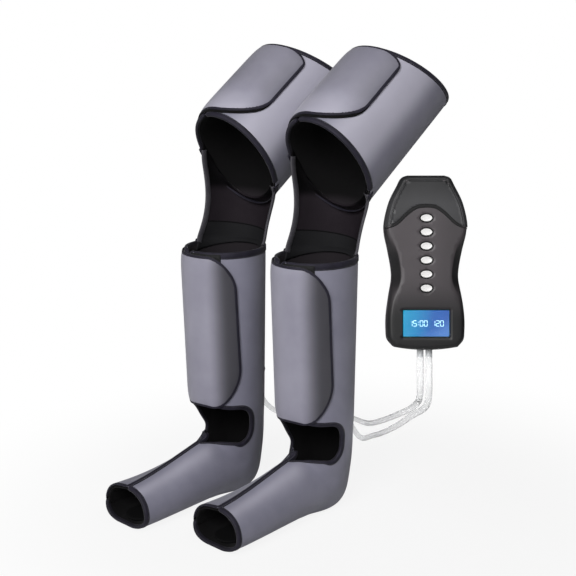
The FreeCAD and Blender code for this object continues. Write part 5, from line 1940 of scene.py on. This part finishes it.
@dataclass
class Pod:
    """Rounded body of the handset, in its own frame: x across, -y to the face, z up."""

    height: float = 205.0
    depth: float = 42.0
    wall: float = 2.2
    edge: float = 9.0
    side: tuple[tuple[float, float], ...] = (
        (37.5, 3.6), (44.3, 12.0), (45.7, 24.0), (45.5, 40.0), (42.5, 64.0), (39.3, 88.0),
        (43.7, 118.0), (47.5, 137.0), (48.1, 149.0), (42.3, 174.5), (33.0, 193.5), (28.0, 202.5),
        (22.0, 205.0))
    steps: int = 10

    def outline(self, inset: float | np.ndarray) -> np.ndarray:
        """Closed outline as (x, z), anticlockwise from the base's right corner, drawn in."""
        right = through(self.side)
        (foot_x, foot_z), (lid_x, _) = self.side[0], self.side[-1]
        lid = np.column_stack([np.linspace(lid_x, -lid_x, 12)[1:-1], np.full(10, self.height)])
        left = right[::-1] * (-1.0, 1.0)
        span = np.linspace(-1.0, 1.0, 24)[1:-1]
        foot = np.column_stack([span * foot_x, foot_z * span ** 2])
        line = np.vstack([right, lid, left, foot])
        return self.drawn_in(line, np.broadcast_to(inset, len(line)))

    @staticmethod
    def drawn_in(line: np.ndarray, inset: np.ndarray) -> np.ndarray:
        """Moves a closed anticlockwise line inwards along its smoothed normals."""
        tangent = loop_headings(line)
        for _ in range(4):
            tangent = eased(tangent)
        tangent = unit(tangent)
        inward = np.column_stack([-tangent[:, 1], tangent[:, 0]])
        return line + inward * inset[:, None]

    @property
    def face(self) -> float:
        """Where the flat face lies along y."""
        return -self.depth / 2.0

    @staticmethod
    def near_waist(z: np.ndarray) -> np.ndarray:
        """How near heights are to the waist, from 1 at its middle to 0."""
        return np.clip(1.0 - np.abs(z - 97.0) / 45.0, 0.0, 1.0)

    def waist(self) -> np.ndarray:
        """How much each outline point belongs to the thumb scoops at the waist."""
        line = self.outline(0.0)
        return smooth(self.near_waist(line[:, 1]) * 1.25) * (np.abs(line[:, 0]) > 30.0)

    def rings(self, inset: float, front: bool) -> list[np.ndarray]:
        """Rings from the parting line to the rim of the flat face, as (n, 3)."""
        scoop = self.waist() * (1.0 if front else 0.35)
        edge = (self.edge - 3.5) + 4.5 * scoop
        start = 0.6 - 0.34 * scoop
        half = self.depth / 2.0 - inset
        sign = -1.0 if front else 1.0
        rings = []
        seam = 0.35 if inset <= 0.0 else 0.0
        for out, pull in ((0.0, seam), (0.02, 0.0)):
            rings.append(upright(self.outline(inset + pull), sign * half * out))
        for u in np.linspace(0.0, 1.0, self.steps):
            t = u * math.pi / 2.0
            pull = edge * ((1.0 - scoop) * (1.0 - math.cos(t)) + scoop * u ** 1.15)
            out = start + (1.0 - start) * ((1.0 - scoop) * math.sin(t) + scoop * u ** 0.9)
            rings.append(upright(self.outline(inset + pull), sign * half * out))
        return rings

    @staticmethod
    def cap(rim: np.ndarray, holes: Sequence[np.ndarray],
            pitch: float = 4.0) -> tuple[np.ndarray, list]:
        """Triangulates a flat face with holes.

        Args:
            rim: the face's outline (n, 2).
            holes: closed loops inside it.
            pitch: spacing of the points added inside.

        Returns:
            All points, the rim's and holes' first, and the faces.
        """
        loops = [rim, *holes]
        inner: list[tuple[float, float]] = []
        low, high = rim.min(0), rim.max(0)
        for x in np.arange(low[0] + pitch / 2.0, high[0], pitch):
            for z in np.arange(low[1] + pitch / 2.0, high[1], pitch):
                point = np.array([x, z])
                near = min(np.min(np.linalg.norm(loop - point, axis=1)) for loop in loops)
                if near > pitch * 0.5 and Pod.inside(rim, point) and \
                        not any(Pod.inside(hole, point) for hole in holes):
                    inner.append((x, z))
        points = np.vstack([*loops, np.array(inner)])
        edges, base = [], 0
        for loop in loops:
            edges += [(base + i, base + (i + 1) % len(loop)) for i in range(len(loop))]
            base += len(loop)
        found = delaunay_2d_cdt([Vector(p) for p in points], edges, [], 0, 1e-6)
        faces = []
        for face in found[2]:
            middle = points[list(face)].mean(0)
            if Pod.inside(rim, middle) and not any(Pod.inside(hole, middle) for hole in holes):
                faces.append(tuple(face))
        return points, faces

    @staticmethod
    def inside(loop: np.ndarray, point: np.ndarray) -> bool:
        """Whether a point lies within a closed loop."""
        a, b = loop, np.roll(loop, -1, 0)
        crosses = (a[:, 1] > point[1]) != (b[:, 1] > point[1])
        with np.errstate(divide="ignore", invalid="ignore"):
            x = a[:, 0] + (point[1] - a[:, 1]) * (b[:, 0] - a[:, 0]) / (b[:, 1] - a[:, 1])
        return bool(np.sum(crosses & (point[0] < x)) % 2)


class Handset:
    """The pump's handset: covers, hood, keys, display and openings."""

    def __init__(self, wardrobe: Wardrobe) -> None:
        """Places the handset."""
        self.wardrobe = wardrobe
        self.place = Place(ORIGIN + (426.5, -166.1, 367.5), -13.6, 44.1)
        self.pod = Pod()
        self.key_heights = [73.0 + 16.5 * i for i in range(6)]
        self.screen = (55.7, 32.8, 31.5)
        self.screw_places = [(x, z) for z in (14.0, 160.0) for x in (-32.0, 32.0)]

    def _solid(self, name: str, points: np.ndarray, faces: list,
               material: str) -> bpy.types.Object:
        """A closed rigid piece in the handset's frame."""
        made = Sewing.mesh(name, self.place.points(points), faces, points[:, [0, 2]],
                           [self.wardrobe[material]])
        face_outward(made)
        return made

    def _cover(self, name: str, front: bool, holes: list[np.ndarray]) -> bpy.types.Object:
        """One half of the case as a closed shell with its holes."""
        outer = self.pod.rings(0.0, front)
        inner = self.pod.rings(self.pod.wall, front)
        rows, count = len(outer), len(outer[0])
        points = [*outer, *inner]
        faces: Faces = []
        for k in range(rows - 1):
            faces += band(k * count, (k + 1) * count, count)
            faces += band((rows + k + 1) * count, (rows + k) * count, count)
        faces += band(rows * count, 0, count)
        flat, cap = self.pod.cap(outer[-1][:, [0, 2]], holes)
        extra = len(flat) - count
        base = 2 * rows * count
        points += [upright(flat[count:], rings[-1][0, 1]) for rings in (outer, inner)]
        top = [(rows - 1) * count + i for i in range(count)] + [base + i for i in range(extra)]
        low = [(2 * rows - 1) * count + i for i in range(count)]
        low += [base + extra + i for i in range(extra)]
        for face in cap:
            faces.append(tuple(top[i] for i in face))
            faces.append(tuple(low[i] for i in reversed(face)))
        start = count
        for hole in holes:
            for i in range(len(hole)):
                j = (i + 1) % len(hole)
                faces.append((top[start + i], top[start + j], low[start + j], low[start + i]))
            start += len(hole)
        return self._solid(name, np.vstack(points), faces, "case_plastic")

    def _darken(self, piece: bpy.types.Object) -> None:
        """Paints shade into the case's colour: in the thumb scoops, towards its base, over its
        right half and along its sides.
        """
        places = np.array([tuple(vertex.co) for vertex in piece.data.vertices]) / MM
        x, y, z = ((places - self.place.base) @ self.place.turn).T
        rise = smooth(self.pod.near_waist(z) * 1.4)
        side = smooth((y + 20.9) / 1.2) * (y < 1.0) * (np.abs(x) > 25.0)
        shade = np.maximum(0.94 * rise * side, 0.97 * smooth((92.0 - z) / 60.0))
        shade = np.maximum(shade, 0.25 * smooth((x - 4.0) / 26.0))
        edge = 0.75 * smooth((np.abs(x) - 24.0) / 20.0) * smooth((y + 20.9) / 4.0)
        paint_shade(piece.data, np.maximum(shade, edge))

    def covers(self) -> None:
        """Front and rear covers with the openings for keys, display, screws, hoses and socket."""
        w, h, z = self.screen
        holes = [oval_loop(7.05, 4.45, 0.0, key) for key in self.key_heights]
        holes.append(box_loop(w, h, z, 1.2))
        front = self._cover("front_shell", True, holes)
        rear = self._cover("rear_shell", False,
                           [oval_loop(3.0, 3.0, x, z) for x, z in self.screw_places])
        bores = [(-5.2, 0.0, 4.15), (5.2, 0.0, 4.15)]
        self._bore(front, bores)
        self._bore(rear, bores + [(20.0, 8.0, 4.35)])
        self._darken(front)
        dress(front, "pump_set", "case_plastic", "front_cover")
        dress(rear, "pump_set", "case_plastic", "rear_cover")

    def _bore(self, piece: bpy.types.Object, bores: list[tuple[float, float, float]]) -> None:
        """Cuts upright round holes through the base at (x, y) with a radius."""
        count = 32
        for x, y, radius in bores:
            loop = oval_loop(radius, radius, x, y, count)
            points = np.vstack([np.column_stack([loop, np.full(count, z)]) for z in (-4.0, 6.5)])
            faces = band(0, count, count)
            faces += [tuple(reversed(range(count))), tuple(range(count, 2 * count))]
            tool = self._solid("bore", points, faces, "case_plastic")
            cut = piece.modifiers.new("bore", "BOOLEAN")
            cut.operation = "DIFFERENCE"
            cut.solver = "EXACT"
            cut.object = tool
            graph = bpy.context.evaluated_depsgraph_get()
            mesh = bpy.data.meshes.new_from_object(piece.evaluated_get(graph))
            piece.modifiers.clear()
            piece.data = mesh
            bpy.data.objects.remove(tool)

    def _front_skin(self, proud: float) -> Skin:
        """The front's outer surface as a skin, raised by proud."""
        pod = self.pod
        rings = pod.rings(-proud, True)
        count = len(rings[0])
        brink = pod.drawn_in(rings[-1][:, [0, 2]], np.full(count, 0.8))
        rings.append(upright(brink, rings[-1][:, 1]))
        flat, cap = pod.cap(rings[-1][:, [0, 2]], [], 2.5)
        points = np.vstack(rings + [upright(flat[count:], rings[-1][0, 1])])
        faces = []
        for k in range(len(rings) - 1):
            for i in range(count):
                here, there = k * count + i, k * count + (i + 1) % count
                faces.append((there, here, here + count, there + count))
        base = (len(rings) - 1) * count
        extra = len(rings) * count
        for face in cap:
            faces.append(tuple(base + i if i < count else extra + i - count for i in face))
        skin = Skin(points, faces, points[:, [0, 2]])
        if skin.normals[-1, 1] > 0.0:
            skin = skin.flipped()
        return skin

    @staticmethod
    def _wave(x: np.ndarray) -> np.ndarray:
        """Height of the hood's lower edge at a distance from the middle."""
        half = 48.1
        line = through([(share * half, height) for share, height in (
            (0.0, 172.0), (0.24, 170.3), (0.48, 162.4), (0.72, 151.4), (0.9, 146.2),
            (1.15, 144.0))], 12)
        return np.interp(np.abs(x), line[:, 0], line[:, 1])

    def hood(self) -> None:
        """Hood over the upper front and the black bead along its edge that paints the groove's
        shadow.
        """
        skin = self._front_skin(0.15)
        skin = skin.raised(1.05 * smooth((-skin.points[:, 1] - 11.0) / 8.0))
        skin = skin.trimmed(lambda p: self._wave(p[:, 0]) - p[:, 2], lambda p: p[:, 1] + 5.0)
        wall = Wall(outer=0.0, inner=-1.1, rim_outer=-0.15, rim_inner=-1.1, fade=1.2)
        # Painted light and shade: darker towards the top and the sides, lighter low in the middle.
        middle = np.exp(-(skin.points[:, 0] / 30.0) ** 2)
        shade = 0.15 + 0.55 * smooth((skin.points[:, 2] - 168.0) / 32.0) + 0.25 * (1.0 - middle)
        made = Sewing.shell("hood_shell", skin, wall, self.place, [self.wardrobe["hood_plastic"]],
                            shade=shade)
        dress(made, "pump_set", "hood_plastic", "hood")
        self._groove()

    def _groove(self) -> None:
        """Black bead in the joint below the hood, laid on the front's surface as a painted shadow
        of the groove.
        """
        skin = self._front_skin(0.0)
        tree = BVHTree.FromPolygons(skin.points.tolist(), skin.faces)
        spine, normals = [], []
        for t in np.linspace(-1.52, 1.52, 90):
            x = 48.0 * math.sin(t)
            z = float(self._wave(np.array([x]))[0]) - 1.9
            hit = tree.ray_cast(Vector((x, -60.0, z)), Vector((0.0, 1.0, 0.0)))
            if hit[0] is not None and hit[0].y < 0.0:
                spine.append(tuple(hit[0]))
                normals.append(tuple(-hit[1] if hit[1].y > 0.0 else hit[1]))
        line, up = np.array(spine), np.array(normals)
        for _ in range(3):
            line[1:-1] = (line[:-2] + 2.0 * line[1:-1] + line[2:]) / 4.0
            up[1:-1] = (up[:-2] + 2.0 * up[1:-1] + up[2:]) / 4.0
        along = unit(np.gradient(line, axis=0))
        up = square_to(up, along)
        side = np.cross(up, along)
        t = np.linspace(0.0, FULL_TURN, 12, endpoint=False)
        thin = 0.35 + 0.65 * smooth((44.5 - np.abs(line[:, 0])) / 12.0)
        rows = [p + np.outer(np.cos(t) * 2.3 * k, w) + np.outer(np.sin(t) * 0.6, n)
                for p, w, n, k in zip(line, side, up, thin)]
        points, faces = tube(rows)
        made = self._solid("hood_groove", np.array(points), faces, "well_plastic")
        dress(made, "pump_set", "case_plastic")

    def keys(self) -> None:
        """Six dished oval keys and the dark wells round them."""
        face = self.pod.face
        profile = ((1.0, face + 3.2), (1.0, face - 0.5), (0.975, face - 0.9), (0.92, face - 1.15),
                   (0.84, face - 1.2), (0.74, face - 1.08), (0.6, face - 0.86), (0.42, face - 0.72),
                   (0.2, face - 0.66))
        half_w, half_h = 6.7, 4.1
        for number, z in enumerate(self.key_heights, 1):
            rows = []
            for share, y in profile:
                inset = (1.0 - share) * half_h
                width = half_w - inset * (1.0 + 0.45 * (1.0 - share))
                loop = oval_loop(width, half_h - inset, 0.0, z, 44)
                rows.append(upright(loop, y))
            points, faces = tube(rows)
            made = self._solid("key_cap_%d" % number, np.array(points), faces, "key_plastic")
            dress(made, "key_%d" % number, "key_plastic", "key_%d" % number)
        self._wells(face)

    def _wells(self, face: float) -> None:
        """Sunk dark ring round each key."""
        section = ((7.0, 4.4, 1.9), (7.0, 4.4, 0.1), (7.15, 4.55, -0.12), (7.7, 5.1, -0.3),
                   (8.25, 5.65, -0.2), (8.45, 5.85, 0.1), (8.2, 5.6, 0.3), (7.2, 4.6, 1.9))
        points, faces, count = [], [], 40
        for z in self.key_heights:
            base = len(points)
            for a, b, y in section:
                points += [(x, face + y, h) for x, h in oval_loop(a, b, 0.0, z, count)]
            for k in range(len(section)):
                following = (k + 1) % len(section)
                faces += band(base + k * count, base + following * count, count)
        made = self._solid("key_wells", np.array(points), faces, "well_plastic")
        dress(made, "pump_set", "case_plastic")

    def display(self) -> None:
        """Lit panel and its read-out."""
        w, h, z = self.screen
        face = self.pod.face
        rows = []
        for inset, y in ((1.0, face + 6.6), (1.0, face + 2.1), (1.15, face + 2.0)):
            loop = box_loop(w - 2.0 * inset, h - 2.0 * inset, z, 0.8)
            rows.append(upright(loop, y))
        points, faces = tube(rows)
        points = np.array(points)
        cloth = points[:, [0, 2]] - (-w / 2.0, z - h / 2.0)
        panel = Sewing.mesh("display_panel", self.place.points(points), faces, cloth,
                            [self.wardrobe["display_light"]], soft=False)
        face_outward(panel)
        dress(panel, "pump_set", "lcd_blue", "lcd_panel")
        self._digits("15:00 120", face + 1.92)

    def _digits(self, text: str, y: float) -> None:
        """Seven-segment read-out centred on the display."""
        segments = {"0": "abcdef", "1": "bc", "2": "abged", "5": "afgcd"}
        size, gap, bar = (3.5, 6.4), 1.5, 0.62
        widths = [1.2 if c == ":" else 2.6 if c == " " else size[0] for c in text]
        x = -(sum(widths) + gap * (len(text) - 1)) / 2.0
        z = self.screen[2]
        points, faces = [], []

        def add(cx: float, cz: float, w: float, h: float) -> None:
            """Adds one upright box."""
            base = len(points)
            for depth in (y + 0.08, y):
                points.extend([(cx - w / 2, depth, cz - h / 2), (cx + w / 2, depth, cz - h / 2),
                               (cx + w / 2, depth, cz + h / 2), (cx - w / 2, depth, cz + h / 2)])
            faces.extend(tuple(base + i for i in f) for f in (
                (0, 1, 2, 3), (7, 6, 5, 4), (0, 4, 5, 1), (1, 5, 6, 2), (2, 6, 7, 3), (3, 7, 4, 0)))
        for character, width in zip(text, widths):
            middle = x + width / 2.0
            if character == ":":
                for side in (-1.0, 1.0):
                    add(middle, z + side * 1.4, bar * 1.3, bar * 1.3)
            w, h = size
            spots = {"a": (0, h / 2, w, bar), "g": (0, 0, w, bar), "d": (0, -h / 2, w, bar),
                     "f": (-w / 2, h / 4, bar, h / 2), "b": (w / 2, h / 4, bar, h / 2),
                     "e": (-w / 2, -h / 4, bar, h / 2), "c": (w / 2, -h / 4, bar, h / 2)}
            for segment in segments.get(character, ""):
                dx, dz, sw, sh = spots[segment]
                grow = -0.1 if sw > sh else -0.1 - bar
                add(middle + dx, z + dz, sw + (grow if sw > sh else 0.0),
                    sh + (grow if sh > sw else 0.0))
            x += width + gap
        points = np.array(points)
        made = Sewing.mesh("display_digits", self.place.points(points), faces, points[:, [0, 2]],
                           [self.wardrobe["display_digits"]], soft=False)
        face_outward(made)
        dress(made, "pump_set", "lcd_blue")

    def build(self) -> None:
        """Builds every piece of the handset."""
        self.covers()
        self.hood()
        self.keys()
        self.display()


# ---- carried-over nodes ----------------------------------------------------------------------
class Fittings:
    """Rigid nodes that keep their shape and get a finish."""

    finishes: dict[str, str] = {
        "inlet_ports": "port_plastic", "left_hose_elbow": "port_plastic",
        "right_hose_elbow": "port_plastic", "outlet_nozzles": "nozzle_plastic",
        "dc_socket": "port_plastic", "rubber_feet": "pad_rubber", "pump_mounts": "pad_rubber",
        "keypad_membrane": "pad_rubber", "case_screws": "mill_steel", "pump_motor": "mill_steel",
        "air_pump": "pump_plastic", "valve_block": "pump_plastic", "solenoid_valves": "mill_steel",
        "inner_air_tubes": "hose_silicone", "circuit_board": "board_resist",
        "screen_window": "window_glass"}

    def __init__(self, wardrobe: Wardrobe) -> None:
        """Keeps the materials."""
        self.wardrobe = wardrobe

    def dress(self) -> None:
        """Gives every carried-over node its finish."""
        for node, finish in self.finishes.items():
            carried = bpy.data.objects[node]
            if not carried.material_slots:
                carried.data.materials.append(self.wardrobe[finish])
            for slot in carried.material_slots:
                slot.material = self.wardrobe[finish]
            log.info("%-28s finished in %s", node, finish)


# ---- studio ----------------------------------------------------------------------------------
@dataclass
class Studio:
    """Camera, floor, lamps and the white surroundings."""

    eye: tuple[float, float, float] = (1.0956, -1.2835, 0.7709)
    target: tuple[float, float, float] = (-0.1189, -0.0303, 0.3487)
    lens: float = 74.06

    def camera(self) -> None:
        """Stands the camera."""
        data = bpy.data.cameras.new("camera")
        data.lens = self.lens
        data.sensor_width = 36.0
        made = add_object("camera", data)
        made.location = self.eye
        aim = Vector(self.target) - Vector(self.eye)
        made.rotation_euler = aim.to_track_quat("-Z", "Y").to_euler()
        bpy.context.scene.camera = made

    def floor(self) -> None:
        """Plain pale floor, white to the camera but for the object's shadow near it."""
        size = 9.0
        points = np.array([(-size, -size, 0), (size, -size, 0), (size, size, 0), (-size, size, 0)])
        material = bpy.data.materials.new("studio_floor")
        g = Graph.of(material)
        grain = g.noise(60.0, 2.0)
        colour = g.mix(grain, (0.60, 0.60, 0.60, 1.0), (0.63, 0.63, 0.63, 1.0))
        matt = g.node("ShaderNodeBsdfPrincipled", {}, {
            "Base Color": colour, "Roughness": 0.9, "Specular IOR Level": 0.1})
        white = g.node("ShaderNodeEmission", {}, {"Color": (1.0, 1.0, 1.0, 1.0), "Strength": 1.0})
        path = g.node("ShaderNodeLightPath", {}, {})
        reach = g.node("ShaderNodeVectorMath", {"operation": "LENGTH"}, {0: g.coordinates()})
        far = reach.out("Value").step(0.25, 0.8) * 0.12 + 0.88
        share = g.math("MAXIMUM", path.out("Is Camera Ray"), path.out("Is Transmission Ray")) * far
        blend = g.node("ShaderNodeMixShader", {}, {0: share, 1: matt.out(), 2: white.out()})
        out = g.node("ShaderNodeOutputMaterial", {}, {"Surface": blend.out()})
        log.info("%-28s ends in %s", "studio_floor", out.raw.name)
        made = Sewing.mesh("studio_floor", points / MM - (0, 0, 0.4), [(0, 1, 2, 3)],
                           points[:, :2], [material], soft=False)

    def lamp(self, name: str, place: tuple, power: float, size: float) -> None:
        """One soft square lamp aimed at the object's middle."""
        data = bpy.data.lights.new(name, "AREA")
        data.energy = power
        data.size = size
        made = add_object(name, data)
        made.location = place
        aim = Vector((0.0, 0.0, 0.35)) - Vector(place)
        made.rotation_euler = aim.to_track_quat("-Z", "Y").to_euler()

    def world(self) -> None:
        """White to the camera, in reflections and through glass; a plain fill on the object."""
        world = bpy.data.worlds.new("surroundings")
        bpy.context.scene.world = world
        g = Graph.of(world)
        path = g.node("ShaderNodeLightPath", {}, {})
        seen = g.math("MAXIMUM", path.out("Is Camera Ray"), path.out("Is Transmission Ray"))
        strength = g.node("ShaderNodeMix", {"data_type": "FLOAT"}, {0: seen, 2: 0.03, 3: 1.0}).out()
        ground = g.node("ShaderNodeBackground", {}, {
            "Color": (1.0, 1.0, 1.0, 1.0), "Strength": strength})
        g.node("ShaderNodeOutputWorld", {}, {"Surface": ground.out()})

    def build(self) -> None:
        """Sets the studio up."""
        self.camera()
        self.floor()
        self.lamp("key_lamp", (0.83, -2.28, 1.75), 64.0, 1.4)
        self.lamp("top_lamp", (1.31, 0.0, 2.82), 20.0, 1.4)
        self.lamp("side_lamp", (-2.4, -1.4, 0.75), 3.0, 1.4)
        self.world()
        bpy.context.scene.view_settings.view_transform = "Standard"


HOSES = (
    Hose(Side.LEFT, (
        (431.707, -164.001, 358.752), (435.634, -168.054, 335.425), (433, -163, 314),
        (422, -151, 293), (402, -135, 277), (368, -110, 256), (322, -76, 224), (290, -52, 203),
        (228, -4, 165), (173, 42, 135), (141, 65, 116), (116, 82, 106), (95, 91, 112),
        (81, 94, 128), (77, 94.035, 148.5), (77, 94.035, 167)), 0.5829),
    Hose(Side.RIGHT, (
        (424.239, -171.239, 358.752), (428.166, -175.291, 335.425), (425, -170, 316),
        (414, -157, 299), (394, -136, 284), (363, -110, 262), (318, -78, 236), (258, -30, 201),
        (186, 25, 162), (128, 76, 136), (74, 114, 120), (22, 112, 113), (-24, 88, 107),
        (-52, 69, 109), (-71, 57, 125), (-77, 51.535, 148.5), (-77, 51.535, 167)), 0.745),
)


def main() -> None:
    """Builds the set from its sub-assemblies, in order."""
    Studio().build()
    wardrobe = Wardrobe()
    for hose in HOSES:
        hose.build(wardrobe["hose_silicone"])
    machine = StitchMachine(wardrobe["sewing_thread"])
    shape = LegShape(LegForm())
    for side in Side:
        LegWrap(side, shape, wardrobe, Inflator()).build(machine)
    Handset(wardrobe).build()
    Fittings(wardrobe).dress()


if __name__ == "__main__":
    main()
